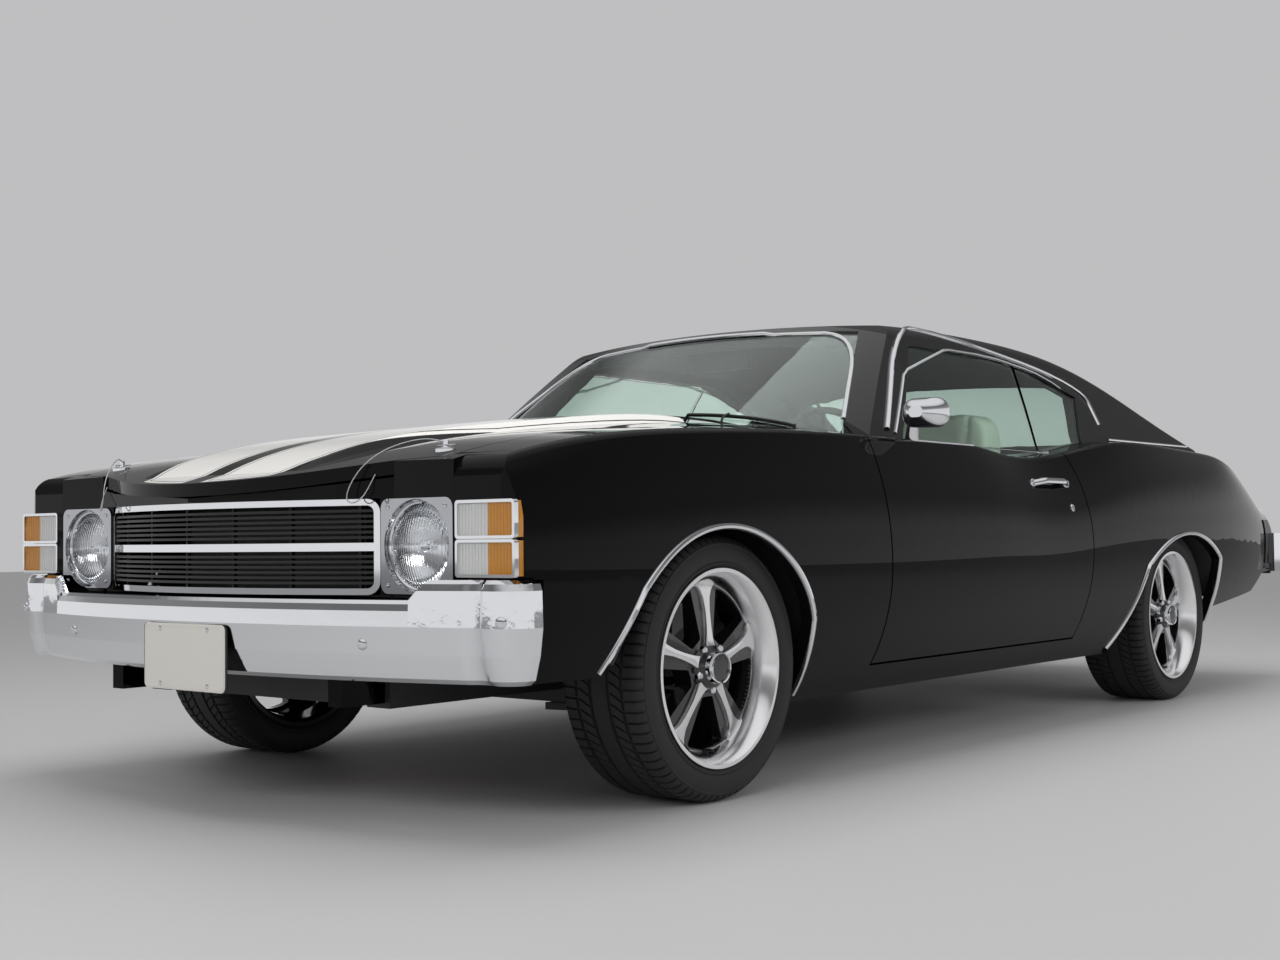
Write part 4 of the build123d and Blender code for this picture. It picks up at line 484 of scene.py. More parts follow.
def pillow_mesh(centre, half, power, channels=0, rows=56, columns=96):
    """Stuffed block: a rounded box with sewn channels side by side across it."""
    def bent(value):
        return abs(value) ** power * (1 if value > 0 else -1)

    centre_x, centre_y, centre_z = centre
    rings = []
    for i in range(rows + 1):
        v = pi * (i / rows - 0.5)
        ring = []
        for k in range(columns):
            u = tau * k / columns
            x, y, z = bent(cos(v)) * bent(cos(u)), bent(cos(v)) * bent(sin(u)), bent(sin(v))
            groove = 0.0
            if channels:
                groove = CHANNEL_DEPTH * (1 - abs(sin(pi * channels * (x + 1) / 2))) ** 3
            ring.append(Vector((
                centre_x + x * half[0], centre_y + y * (half[1] - groove), centre_z + z * (half[2] - groove)
            )))
        rings.append(ring)
    return grid_mesh(rings, merge=1e-5)


def wire(name, points, radius, material, body):
    """Round bar or wire along smoothed points, as a curve."""
    data = bpy.data.curves.new(name, "CURVE")
    data.dimensions = "3D"
    data.bevel_depth = radius
    data.bevel_resolution = 4
    data.use_fill_caps = True
    spline = data.splines.new("NURBS")
    spline.points.add(len(points) - 1)
    for control, point in zip(spline.points, points):
        control.co = (*point, 1.0)
    spline.order_u = 3
    spline.use_endpoint_u = True
    return place_piece(name, data, material, body)


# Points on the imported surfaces


def surface_of(*nodes):
    """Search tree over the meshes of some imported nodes."""
    return BVHTree.FromPolygons(*gathered([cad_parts[node].data for node in nodes]))


def struck(tree, point, direction):
    """Where a ray meets a surface, and the normal there that faces the ray."""
    place, normal, _, _ = tree.ray_cast(Vector(point), direction)
    if place is None:
        raise RuntimeError(f"a ray from {tuple(point)} meets no surface")
    return place, -normal if normal.dot(direction) > 0 else normal


def rounded(points, passes):
    """Corner-cut polyline."""
    for _ in range(passes):
        cut = []
        for a, b in zip(points, points[1:]):
            cut += [a.lerp(b, 0.25), a.lerp(b, 0.75)]
        points = [points[0], *cut, points[-1]]
    return points


def spaced(points, step):
    """Polyline with points at most step apart."""
    out = [points[0]]
    for a, b in zip(points, points[1:]):
        pieces = max(1, ceil((b - a).length / step))
        out += [a.lerp(b, k / pieces) for k in range(1, pieces + 1)]
    return out


def laid_on(tree, points, direction, lift=0.0):
    """Points cast along a direction on to a surface, with smoothed normals; misses are dropped."""
    places, normals = [], []
    for point in points:
        hit, normal, _, _ = tree.ray_cast(point, direction)
        if hit is not None:
            places.append(hit)
            normals.append(-normal if normal.dot(direction) > 0 else normal)
    for _ in range(4):
        normals = [
            (normals[max(i - 1, 0)] + n * 2 + normals[min(i + 1, len(normals) - 1)]).normalized()
            for i, n in enumerate(normals)
        ]
    return [p + n * lift for p, n in zip(places, normals)], normals


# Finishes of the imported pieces
PAINTED = {
    "Black body paint": "body_side_left body_side_right cowl door_left door_right front_fender_left "
    "front_fender_right nose_panel rear_deck tail_panel",
    "Striped hood paint": "hood",
    "Striped lid paint": "trunk_lid",
    "Grained roof vinyl": "roof",
    "Bright chrome": "rear_bumper grille_frame hood_pins door_mirror_left door_mirror_right",
    "Bumper chrome": "front_bumper",
    "Dark chrome": "headlamp_bezels",
    "Green tinted glass": "windshield rear_window door_glass_left door_glass_right quarter_windows",
    "Corner lens": "headlamps corner_lamps",
    "Red lens": "tail_lamps",
    "Satin black trim": "side_markers grille dashboard steering_wheel radiator inner_mirror",
    "Soft seal rubber": "lid_rests",
    "Tread rubber": "tyre_front_left tyre_front_right tyre_rear_left tyre_rear_right",
    "Gloss black pocket": "wheel_front_left wheel_front_right wheel_rear_left wheel_rear_right",
    "Chassis black": "chassis_frame wheelhouses front_suspension rear_axle",
    "Loop carpet": "floor_pan",
    "Engine paint": "engine",
    "Cast metal": "knuckle_left knuckle_right driveline",
    "Exhaust steel": "exhaust fuel_tank lanyards",
    "Pale seat vinyl": "front_seats rear_seat",
}


def colour_property(name, part, default):
    """Colour of a part that a user may change."""
    return FloatVectorProperty(
        name=name, description=f"Colour of the {part}", default=default, subtype="COLOR", size=3,
        min=0.0, max=1.0,
    )


class MusclecarLook(bpy.types.PropertyGroup):
    """Colours and sizes a user may change"""

    body_colour: colour_property("Body colour", "body paint", (0.004, 0.004, 0.0045))
    stripe_colour: colour_property("Stripe colour", "hood and lid stripes", (0.80, 0.79, 0.76))
    amber_colour: colour_property("Amber colour", "corner lamps' outer half", (0.74, 0.32, 0.045))
    roof_colour: colour_property("Roof colour", "vinyl roof cover", (0.012, 0.012, 0.013))
    seat_colour: colour_property("Seat colour", "seats and door trim", (0.66, 0.64, 0.58))
    tread_pitches: IntProperty(
        name="Tread pitches", description="Tread blocks round each tyre", default=76, min=24, max=120
    )
    lens_length: FloatProperty(
        name="Camera lens", description="Focal length of the camera", default=45.5, min=20.0, max=200.0,
        subtype="DISTANCE_CAMERA", unit="CAMERA",
    )


class MUSCLECAR_OT_paint(bpy.types.Operator):
    """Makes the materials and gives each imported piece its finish"""

    bl_idname = "musclecar.paint"
    bl_label = "Paint"

    def execute(self, context):
        build_finishes(context.scene.musclecar_look)
        for material, nodes in PAINTED.items():
            for node in nodes.split():
                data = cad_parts[node].data
                data.materials.clear()
                data.materials.append(finishes[material])
        return {"FINISHED"}


# Mouldings: points by distance behind the front axle and height, or by x and that distance
ARCHES = [
    ("Front", "front_fender",
     [(-0.52, 0.222), (-0.352, 0.505), (-0.01, 0.638), (0.318, 0.415), (0.357, 0.222)]),
    ("Rear", "body_side", [(2.33, 0.222), (2.45, 0.5), (2.8, 0.608), (3.15, 0.515), (3.182, 0.222)]),
]
ARCH_TRIM_INSET = 0.008
DRIP_RAIL = [(0.945, 0.925), (1.247, 1.262), (1.5, 1.27), (2.466, 1.157), (2.488, 1.01)]
WINDOW_EDGE = [(0.985, 0.915), (1.289, 1.212), (1.983, 1.213), (2.388, 1.113), (2.3, 0.985)]
ROOF_BASE = [(2.52, 0.957), (3.26, 0.957)]
BELT = [(0.975, 0.89), (1.97, 0.89)]
WINDSHIELD_EDGE = [
    (-0.712, 0.822), (-0.552, 1.176), (-0.3, 1.138), (0.0, 1.128), (0.3, 1.138), (0.552, 1.176),
    (0.712, 0.822),
]
REAR_WINDOW_EDGE = [
    (-0.706, 3.283), (-0.56, 2.56), (-0.3, 2.541), (0.0, 2.535), (0.3, 2.541), (0.56, 2.56),
    (0.706, 3.283),
]
REAR_WINDOW_FOOT = [(-0.7, 3.292), (0.0, 3.292), (0.7, 3.292)]
HALF_ROUND = [(-0.5, -0.3), (-0.5, 0.25), (-0.36, 0.75), (0.0, 1.0), (0.36, 0.75), (0.5, 0.25), (0.5, -0.3)]
STRIP_STEP = 0.015


def arc_through(start, middle, end, steps=40):
    """Points of the arc over the top from start by middle to end, in a plane."""
    (ax, ay), (bx, by), (cx, cy) = start, middle, end
    twist = 2 * (ax * (by - cy) + bx * (cy - ay) + cx * (ay - by))
    a2, b2, c2 = ax * ax + ay * ay, bx * bx + by * by, cx * cx + cy * cy
    x0 = (a2 * (by - cy) + b2 * (cy - ay) + c2 * (ay - by)) / twist
    y0 = (a2 * (cx - bx) + b2 * (ax - cx) + c2 * (bx - ax)) / twist
    radius = hypot(ax - x0, ay - y0)
    first = atan2(ay - y0, ax - x0) % tau
    last = atan2(cy - y0, cx - x0)
    turns = [first + (last - first) * k / steps for k in range(steps + 1)]
    return [(x0 + radius * cos(t), y0 + radius * sin(t)) for t in turns]


def arch_line(arch):
    """Line of a wheel opening's trim: straight feet and an arc, set back from the opening's edge."""
    middle = (arch[0][0] + arch[4][0]) / 2
    line = []
    for distance, z in [arch[0], *arc_through(*arch[1:4]), arch[4]]:
        away = Vector((distance - middle, z - AXLE_Z)).normalized()
        line.append(Vector((distance, z)) + away * ARCH_TRIM_INSET)
    return line


def strip(name, nodes, points, direction, width, height, body="body"):
    """Half-round bright strip on the surface of some nodes, along points cast in a direction."""
    places, normals = laid_on(surface_of(*nodes), spaced(points, STRIP_STEP), direction)
    if len(places) < 3:
        raise RuntimeError(f"{name} meets no surface")
    show(name, sweep_mesh(places, normals, [(a * width, h * height) for a, h in HALF_ROUND]), body=body)


class MUSCLECAR_OT_mouldings(bpy.types.Operator):
    """Lays the bright strips round the wheel openings, windows and roof"""

    bl_idname = "musclecar.mouldings"
    bl_label = "Mouldings"

    def execute(self, context):
        for ending, side in SIDES:
            door, quarter = f"door_{ending}", f"body_side_{ending}"
            rows = [(f"{end}_arch_trim", (f"{node}_{ending}",), arch_line(arch), 0, 0.016, 0.008, "body")
                    for end, node, arch in ARCHES]
            rows += [
                ("Drip_rail", ("roof",), DRIP_RAIL, 3, 0.016, 0.010, "body"),
                ("Window_edge", ("roof",), WINDOW_EDGE, 2, 0.009, 0.005, "body"),
                ("Roof_base", ("roof", quarter), ROOF_BASE, 0, 0.011, 0.006, "body"),
                ("Belt_strip", (door,), BELT, 0, 0.009, 0.004, door),
            ]
            for name, nodes, line, passes, width, height, body in rows:
                path = rounded([at(side * CLEAR_SIDE, distance, z) for distance, z in line], passes)
                strip(f"{name}_{ending}", nodes, path, Vector((-side, 0, 0)), width, height, body)
        for name, nodes, line, passes, width, height in (
            ("Windshield_edge", ("windshield", "roof", "cowl"), WINDSHIELD_EDGE, 3, 0.014, 0.007),
            ("Rear_window_edge", ("rear_window", "roof", "rear_deck"), REAR_WINDOW_EDGE, 3, 0.014, 0.007),
            ("Rear_window_foot", ("rear_deck", "roof"), REAR_WINDOW_FOOT, 0, 0.012, 0.006),
        ):
            path = rounded([at(x, distance, CLEAR_TOP) for x, distance in line], passes)
            strip(name, nodes, path, DOWN, width, height)
        return {"FINISHED"}


# Wheels: (distance out from the wheel's middle, radius)
BARREL = [
    (0.0615, 0.193), (0.0625, 0.1983), (0.084, 0.2052), (0.108, 0.2152), (0.1165, 0.224),
    (0.1188, 0.2262), (0.1188, 0.2352), (0.115, 0.2362), (0.108, 0.23), (0.104, 0.2225), (0.082, 0.2125),
    (0.06, 0.205), (0.056, 0.193),
]
HUB_CAP = [
    (0.08, 0.0), (0.08, 0.04), (0.1, 0.0385), (0.114, 0.0375), (0.118, 0.0355), (0.116, 0.0335),
    (0.11, 0.0325), (0.11, 0.0),
]
CAP_DISC = [(0.108, 0.0), (0.108, 0.0322), (0.1115, 0.0322), (0.1125, 0.0)]
NUT_CIRCLE, NUT_RADIUS = 0.053, 0.0095
NUT = [(0.066, 0.0), (0.066, NUT_RADIUS), (0.090, NUT_RADIUS), (0.094, NUT_RADIUS * 0.7), (0.094, 0.0)]
VALVE_CIRCLE = 0.196
VALVE = [(0.06, 0.0), (0.06, 0.0035), (0.088, 0.0035), (0.09, 0.002), (0.09, 0.0)]
CALIPER = [
    (-0.048, 0.108), (-0.048, 0.172), (-0.036, 0.184), (0.006, 0.184), (0.018, 0.172), (0.018, 0.108),
]
CALIPER_HALF_ANGLE, CALIPER_STEPS = 32, 12
SPOKE_ANGLES = [-54, 18, 90, 162, 234]
SPOKE_FOOT, SPOKE_TIP, SPOKE_STEPS = 0.045, 0.203, 24
# Spokes: (radius, width), (radius, distance out), and a section in half widths and rise
SPOKE_WIDTHS = [
    (0.045, 0.034), (0.07, 0.024), (0.1, 0.019), (0.135, 0.019), (0.165, 0.027), (0.185, 0.048),
    (0.203, 0.096),
]
SPOKE_TOPS = [(0.045, 0.088), (0.06, 0.084), (0.1, 0.08), (0.15, 0.075), (0.19, 0.071), (0.205, 0.068)]
SPOKE_SECTION = [
    (-1, -0.026), (-1, -0.004), (-0.88, 0), (-0.3, 0.0006), (0.3, 0.0006), (0.88, 0), (1, -0.004),
    (1, -0.026),
]


def between(table, value):
    """Value read from a table of (position, value) rows by straight lines."""
    for (a, first), (b, second) in zip(table, table[1:]):
        if value <= b:
            return first + (second - first) * max(0.0, (value - a) / (b - a))
    return table[-1][1]


def round_axle(degrees):
    """Direction out from an axle."""
    return Vector((0, cos(radians(degrees)), sin(radians(degrees))))


def spoke_mesh(centre, outward, degrees):
    """Polished ridge of one spoke, its flanks sunk in the wheel."""
    along, beside = round_axle(degrees), round_axle(degrees + 90)
    rows = []
    for k in range(SPOKE_STEPS + 1):
        radius = SPOKE_FOOT + (SPOKE_TIP - SPOKE_FOOT) * k / SPOKE_STEPS
        half, top = between(SPOKE_WIDTHS, radius) / 2, between(SPOKE_TOPS, radius)
        ridge = centre + along * radius
        rows.append([ridge + beside * half * x + outward * (top + rise) for x, rise in SPOKE_SECTION])
    return grid_mesh(rows, caps=True)


class MUSCLECAR_OT_wheels(bpy.types.Operator):
    """Adds the polished rims and spokes, hub caps, wheel nuts, valves and calipers"""

    bl_idname = "musclecar.wheels"
    bl_label = "Wheels"

    def execute(self, context):
        for end, x, y, side in WHEELS:
            body = f"wheel_{end}"
            centre, out = Vector((x, y, AXLE_Z)), Vector((side, 0, 0))
            show(f"Rim_{end}", lathe_mesh(BARREL, centre, out, 144, closed=True), "Polished alloy", body)
            for k, angle in enumerate(SPOKE_ANGLES, 1):
                show(f"Spoke_{end}_{k}", spoke_mesh(centre, out, angle), "Machined alloy", body)
            show(f"Hub_cap_{end}", lathe_mesh(HUB_CAP, centre, out, 72), body=body)
            show(f"Cap_disc_{end}", lathe_mesh(CAP_DISC, centre, out, 48), "Gloss black pocket", body)
            seats = [centre + round_axle(angle + 36) * NUT_CIRCLE for angle in SPOKE_ANGLES]
            nuts = joined([lathe_mesh(NUT, seat, out, 6) for seat in seats])
            show(f"Wheel_nuts_{end}", nuts, body=body, angle=20)
            valve = lathe_mesh(VALVE, centre + round_axle(-90) * VALVE_CIRCLE, out, 16)
            show(f"Valve_{end}", valve, "Satin black trim", body)
            rows = []
            for k in range(CALIPER_STEPS + 1):
                way = round_axle(CALIPER_HALF_ANGLE * (2 * k / CALIPER_STEPS - 1))
                rows.append([centre + out * a + way * r for a, r in CALIPER])
            holder = f"knuckle_{end[6:]}" if end.startswith("front") else "body"
            show(f"Caliper_{end}", grid_mesh(rows, caps=True), "Cast metal", holder)
        return {"FINISHED"}


# Half section of a tyre: out from its middle, radius, depth of the blocks' grooves, their shift in pitches
TYRE_SECTION = [
    (0.0, 0.314, 0.0, 0.0), (0.0205, 0.314, 0.0, 0.16), (0.0225, 0.307, 0.0, 0.2),
    (0.0295, 0.307, 0.0, 0.27), (0.0312, 0.314, 0.005, 0.3), (0.039, 0.314, 0.005, 0.48),
    (0.046, 0.314, 0.005, 0.64), (0.054, 0.314, 0.005, 0.82), (0.0613, 0.314, 0.005, 1.0),
    (0.063, 0.307, 0.0, 1.0), (0.07, 0.307, 0.0, 1.0), (0.0717, 0.3139, 0.006, 1.0),
    (0.082, 0.3138, 0.006, 1.0), (0.092, 0.3134, 0.006, 1.0), (0.1, 0.3118, 0.006, 1.0),
    (0.108, 0.3085, 0.006, 1.0), (0.1135, 0.3032, 0.005, 1.0), (0.117, 0.2985, 0.002, 1.0),
]
SIDEWALL = [
    (0.1182, 0.2955), (0.1205, 0.2945), (0.121, 0.292), (0.12, 0.2905), (0.1215, 0.284), (0.1225, 0.273),
    (0.1219, 0.262), (0.12, 0.253), (0.1185, 0.25), (0.1205, 0.248), (0.1205, 0.245), (0.118, 0.243),
    (0.115, 0.239), (0.1117, 0.237), (0.1117, 0.2243),
]
# Samples in a pitch: fraction of it, and share of the groove's depth
PITCH_SAMPLES = [(0.0, 0.0), (0.04, 1.0), (0.2, 1.0), (0.24, 0.0), (0.62, 0.0)]


class MUSCLECAR_OT_tyres(bpy.types.Operator):
    """Makes the treaded tyres"""

    bl_idname = "musclecar.tyres"
    bl_label = "Tyres"

    def execute(self, context):
        pitches = context.scene.musclecar_look.tread_pitches
        outer = TYRE_SECTION + [(a, radius, 0.0, 1.0) for a, radius in SIDEWALL]
        section = [(-a, radius, depth, -shift) for a, radius, depth, shift in outer[:0:-1]] + outer
        for end, x, y, side in WHEELS:
            rows = []
            for pitch in range(pitches):
                for fraction, weight in PITCH_SAMPLES:
                    row = []
                    for a, radius, depth, shift in section:
                        turn = tau * (pitch + fraction + shift) / pitches
                        r = radius - weight * depth
                        row.append(Vector((x + side * a, y + r * cos(turn), AXLE_Z + r * sin(turn))))
                    rows.append(row)
            mesh = grid_mesh(rows, close_rows=True)
            tyre = show(f"Tyre_{end}", mesh, "Tread rubber", f"wheel_{end}", angle=38)
            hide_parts(f"tyre_{end}")
        return {"FINISHED"}


# Lamps: (distance ahead of the lamp's rim, radius)
LAMP_X, LAMP_STATION, LAMP_Z = 0.621, -0.717, 0.610
LENS = [
    (0.026, 0.0), (0.0245, 0.02), (0.021, 0.04), (0.0145, 0.06), (0.006, 0.078), (-0.004, 0.0905),
    (-0.0075, 0.0895), (0.003, 0.0765), (0.0115, 0.0585), (0.018, 0.039), (0.0215, 0.0195), (0.023, 0.0),
]
REFLECTOR = [
    (-0.0085, 0.089), (-0.02, 0.083), (-0.034, 0.07), (-0.046, 0.05), (-0.053, 0.025), (-0.055, 0.0),
    (-0.057, 0.0), (-0.055, 0.026), (-0.048, 0.051), (-0.036, 0.0715), (-0.022, 0.085), (-0.01, 0.091),
]
LAMP_RING = [(-0.006, 0.0895), (0.0015, 0.0905), (0.0035, 0.0935), (0.0015, 0.097), (-0.006, 0.0985)]
BULB_SHIELD = [(-0.03, 0.0), (-0.03, 0.012), (-0.008, 0.0135), (-0.004, 0.011), (-0.003, 0.0)]
BEZEL_SCREW = [(-0.004, 0), (-0.004, 0.005), (0.001, 0.005), (0.0025, 0.003), (0.003, 0)]
SCREW_STATION, SCREW_PLACES = -0.7313, ((-0.088, 0.084), (0.088, 0.084), (-0.088, -0.084), (0.088, -0.084))
CORNER_X, CORNER_Z = (0.7495, 0.9125), ((0.627, 0.701), (0.548, 0.620))
CORNER_FRAME_STATION, CORNER_FRAME_LIP = -0.7395, 0.003
TAIL_LAMP_X, TAIL_LAMP_Z, TAIL_RING_RADIUS = (0.560, 0.700), 0.532, 0.0525
TAIL_RING = [(-0.004, 0.0), (-0.004, 0.006), (0.004, 0.0055), (0.0065, 0.003), (0.005, 0.0)]
TAIL_RING_PROBE = 0.062


def lamp_pair(profile, segments, closed=False):
    """A turned part of both headlamps."""
    seats = [at(side * LAMP_X, LAMP_STATION, LAMP_Z) for _, side in SIDES]
    return joined([lathe_mesh(profile, seat, AHEAD, segments, closed) for seat in seats])


class MUSCLECAR_OT_lamps(bpy.types.Operator):
    """Makes the headlamps, with reflectors and rings, and frames the corner and tail lamps"""

    bl_idname = "musclecar.lamps"
    bl_label = "Lamps"

    def execute(self, context):
        lens = show("Headlamp_lenses", lamp_pair(LENS, 96), "Fluted lens")
        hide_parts("headlamps")
        show("Lamp_reflectors", lamp_pair(REFLECTOR, 96), "Lamp silver")
        show("Lamp_rings", lamp_pair(LAMP_RING, 96, closed=True))
        show("Bulb_shields", lamp_pair(BULB_SHIELD, 48))
        screws, frames, hoops = [], [], []
        for _, side in SIDES:
            for x, z in SCREW_PLACES:
                place = at(side * LAMP_X + x, SCREW_STATION, LAMP_Z + z)
                screws.append(lathe_mesh(BEZEL_SCREW, place, AHEAD, 20))
            near, far = sorted(side * x for x in CORNER_X)
            for low, high in CORNER_Z:
                frames.append(frame_mesh(
                    (near - CORNER_FRAME_LIP, far + CORNER_FRAME_LIP),
                    (low - CORNER_FRAME_LIP, high + CORNER_FRAME_LIP),
                    station(CORNER_FRAME_STATION), 0.0065, 0.012, 0.008,
                ))
        show("Bezel_screws", joined(screws))
        show("Corner_lamp_frames", joined(frames))
        bumper = surface_of("rear_bumper")
        profile = [(a, TAIL_RING_RADIUS + r) for a, r in TAIL_RING]
        for x in (*TAIL_LAMP_X, *(-x for x in TAIL_LAMP_X)):
            face, _ = struck(bumper, (x + TAIL_RING_PROBE, CLEAR_END, TAIL_LAMP_Z), AHEAD)
            hoops.append(lathe_mesh(profile, (x, face.y, TAIL_LAMP_Z), BACK, 72, closed=True))
        show("Tail_lamp_rings", joined(hoops))
        return {"FINISHED"}


PLATE_WIDTH, PLATE_HEIGHT, PLATE_TOP_HOLE, PLATE_HOLE_X = 0.305, 0.152, 0.0127, 0.0889
BRACKET_GAP, PLATE_LIFT = 0.0005, 0.0026
PLATE_RIM_LIFT, PLATE_RIM_INSET, PLATE_SCREW_LIFT = 0.0040, 0.004, 0.0044
PLATES = [
    # end of the car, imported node, way that it faces, height of the upper holes
    ("Front", "front_bumper", -1, 0.425),
    ("Rear", "rear_bumper", 1, 0.590),
]
BUMPER_BOLTS = [(0.543, 0.405), (0.883, 0.455)]
BOLT_DOME = [
    (-0.003, 0.0), (-0.003, 0.0125), (0.001, 0.0125), (0.0045, 0.0105), (0.007, 0.006), (0.0078, 0.0),
]
SCREW_DOME = [(-0.002, 0.0), (-0.002, 0.006), (0.001, 0.006), (0.0025, 0.004), (0.003, 0.0)]


class MUSCLECAR_OT_bumpers(bpy.types.Operator):
    """Adds the bumper bolts and the blank registration plates"""

    bl_idname = "musclecar.bumpers"
    bl_label = "Bumpers"

    def execute(self, context):
        bumper = surface_of("front_bumper")
        bolts = []
        for x, z in BUMPER_BOLTS:
            for _, side in SIDES:
                place, normal = struck(bumper, (side * x, -CLEAR_END, z), BACK)
                bolts.append(lathe_mesh(BOLT_DOME, place, normal, 32))
        show("Bumper_bolts", joined(bolts))
        for end, node, way, hole_z in PLATES:
            face, _ = struck(surface_of(node), (0.02, way * CLEAR_END, hole_z), Vector((0, -way, 0)))
            facing = Vector((0, way, 0))
            centre = Vector((0, face.y + way * BRACKET_GAP, hole_z + PLATE_TOP_HOLE - PLATE_HEIGHT / 2))
            bracket = plate_mesh(centre, facing, 0.315, 0.150, 0.012, 0.0025)
            show(f"{end}_plate_bracket", bracket, "Satin black trim")
            plate = plate_mesh(centre + facing * PLATE_LIFT, facing, PLATE_WIDTH, PLATE_HEIGHT, 0.014, 0.0018)
            show(f"{end}_plate", plate, "Plate white")
            half_width, half_height = PLATE_WIDTH / 2 - PLATE_RIM_INSET, PLATE_HEIGHT / 2 - PLATE_RIM_INSET
            rim = frame_mesh(
                (-half_width, half_width), (centre.z - half_height, centre.z + half_height),
                centre.y + way * PLATE_RIM_LIFT, 0.003, way * 0.0012, 0.012,
            )
            show(f"{end}_plate_rim", rim, "Plate white")
            screws = [
                lathe_mesh(SCREW_DOME, (x, centre.y + way * PLATE_SCREW_LIFT, z), facing, 24)
                for x in (-PLATE_HOLE_X, PLATE_HOLE_X)
                for z in (hole_z, centre.z - PLATE_HEIGHT / 2 + PLATE_TOP_HOLE)
            ]
            show(f"{end}_plate_screws", joined(screws))
        return {"FINISHED"}


HANDLE_Z, HANDLE_FRONT, HANDLE_REAR = 0.780, 1.650, 1.880
HANDLE_SECTION = [(0.0095 * cos(tau * k / 12), 0.0050 * sin(tau * k / 12)) for k in range(12)]
HANDLE_FOOT, HANDLE_RISE, HANDLE_STEEPNESS, HANDLE_SINK = 0.004, 0.020, 4.5, 0.003
LOCK_STATION, LOCK_Z = 1.867, 0.703
LOCK = [(-0.004, 0.0), (-0.004, 0.013), (0.003, 0.0125), (0.005, 0.01), (0.0045, 0.0065), (0.0055, 0.0)]
MIRROR_X, MIRROR_Z, MIRROR_PROBE = 0.926, 0.962, 1.3
INNER_MIRROR_STATION, INNER_MIRROR_Z = 1.210, 1.196
PIN_X, PIN_STATION, PIN_PROBE = 0.611, -0.632, 0.014
PIN_RING_LIFT, PIN_CLIP_LIFT, PIN_RING_RADIUS, PIN_RING_WIRE = 0.0015, 0.0085, 0.0175, 0.0022
# Clip of a hood pin: outward and backward from the pin
PIN_CLIP = [(-0.03, 0.004), (0.02, 0.009), (0.03, 0.002), (0.02, -0.009), (-0.004, -0.008)]
LANYARD_ROUTE = [
    # x, distance behind the front axle, height
    (0.6052, -0.6355, 0.836), (0.590, -0.652, 0.842), (0.566, -0.676, 0.840), (0.540, -0.702, 0.831),
    (0.514, -0.730, 0.815), (0.490, -0.758, 0.788), (0.472, -0.776, 0.754), (0.462, -0.784, 0.724),
    (0.466, -0.786, 0.706), (0.482, -0.779, 0.703), (0.496, -0.768, 0.716), (0.504, -0.757, 0.738),
    (0.508, -0.743, 0.765),
]
LANYARD_RADIUS, LANYARD_LENGTH = 0.0015, 0.367
WIPERS = [
    # pivot x and station, blade's near and far end
    ((0.40, 0.668), (0.60, 0.752), (0.18, 0.690)),
    ((-0.20, 0.655), (0.04, 0.684), (-0.42, 0.716)),
]
WIPER_SECTION = [
    (-0.003, -0.006), (-0.0045, 0.002), (-0.002, 0.004), (0.002, 0.004), (0.0045, 0.002), (0.003, -0.006),
]
WIPER_LIFT = 0.007


def add_door_fittings(ending, side):
    """Handle, lock and mirror glass of one door."""
    door, inward = f"door_{ending}", Vector((-side, 0, 0))
    skin = surface_of(door)
    line = [at(side * CLEAR_SIDE, distance, HANDLE_Z) for distance in (HANDLE_FRONT, HANDLE_REAR)]
    places, normals = laid_on(skin, spaced(line, 0.01), inward)
    last = len(places) - 1
    grip = []
    for k, (place, normal) in enumerate(zip(places, normals)):
        ends = min(1.0, HANDLE_STEEPNESS * k / last) * min(1.0, HANDLE_STEEPNESS * (1 - k / last))
        grip.append(place + normal * (HANDLE_FOOT + HANDLE_RISE * ends))
    show(f"Door_handle_{ending}", sweep_mesh(grip, normals, HANDLE_SECTION), body=door)
    sunk = [place - normal * HANDLE_SINK for place, normal in zip(places, normals)]
    feet = [plate_mesh(sunk[k], normals[k], 0.040, 0.028, 0.0135, 0.007, 0.003) for k in (0, last)]
    show(f"Handle_feet_{ending}", joined(feet), body=door)
    cup = plate_mesh(sunk[last // 2], normals[last // 2], 0.150, 0.040, 0.019, 0.0038)
    show(f"Handle_cup_{ending}", cup, "Gloss black pocket", door)
    place, normal = struck(skin, at(side * CLEAR_SIDE, LOCK_STATION, LOCK_Z), inward)
    show(f"Door_lock_{ending}", lathe_mesh(LOCK, place, normal, 36), body=door)
    place, _ = struck(surface_of(f"door_mirror_{ending}"), at(side * MIRROR_X, MIRROR_PROBE, MIRROR_Z), AHEAD)
    glass = plate_mesh(place, BACK, 0.112, 0.066, 0.028, 0.0012)
    show(f"Mirror_glass_{ending}", glass, "Mirror silver", door)


def add_hood_pin(ending, side):
    """Ring, clip and lanyard of one hood pin."""
    pin = at(side * PIN_X, PIN_STATION, CLEAR_TOP)
    top = struck(surface_of("hood_pins"), pin + Vector((PIN_PROBE, 0, 0)), DOWN)[0].z
    turns = [tau * k / 10 for k in range(10)]
    loop = [(PIN_RING_WIRE * sin(turn), PIN_RING_RADIUS + PIN_RING_WIRE * cos(turn)) for turn in turns]
    ring = lathe_mesh(loop, (pin.x, pin.y, top + PIN_RING_LIFT), UP, 40, closed=True)
    show(f"Pin_ring_{ending}", ring, body="hood")
    clip = [at(side * (PIN_X + x), PIN_STATION + distance, top + PIN_CLIP_LIFT) for x, distance in PIN_CLIP]
    wire(f"Pin_clip_{ending}", clip, 0.0014, "Bright chrome", "hood")
    route = [(side * x, station(distance), z) for x, distance, z in LANYARD_ROUTE]
    cable = wire(f"Lanyard_{ending}", route, LANYARD_RADIUS, "Braided cable", "hood")
    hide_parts("lanyards")


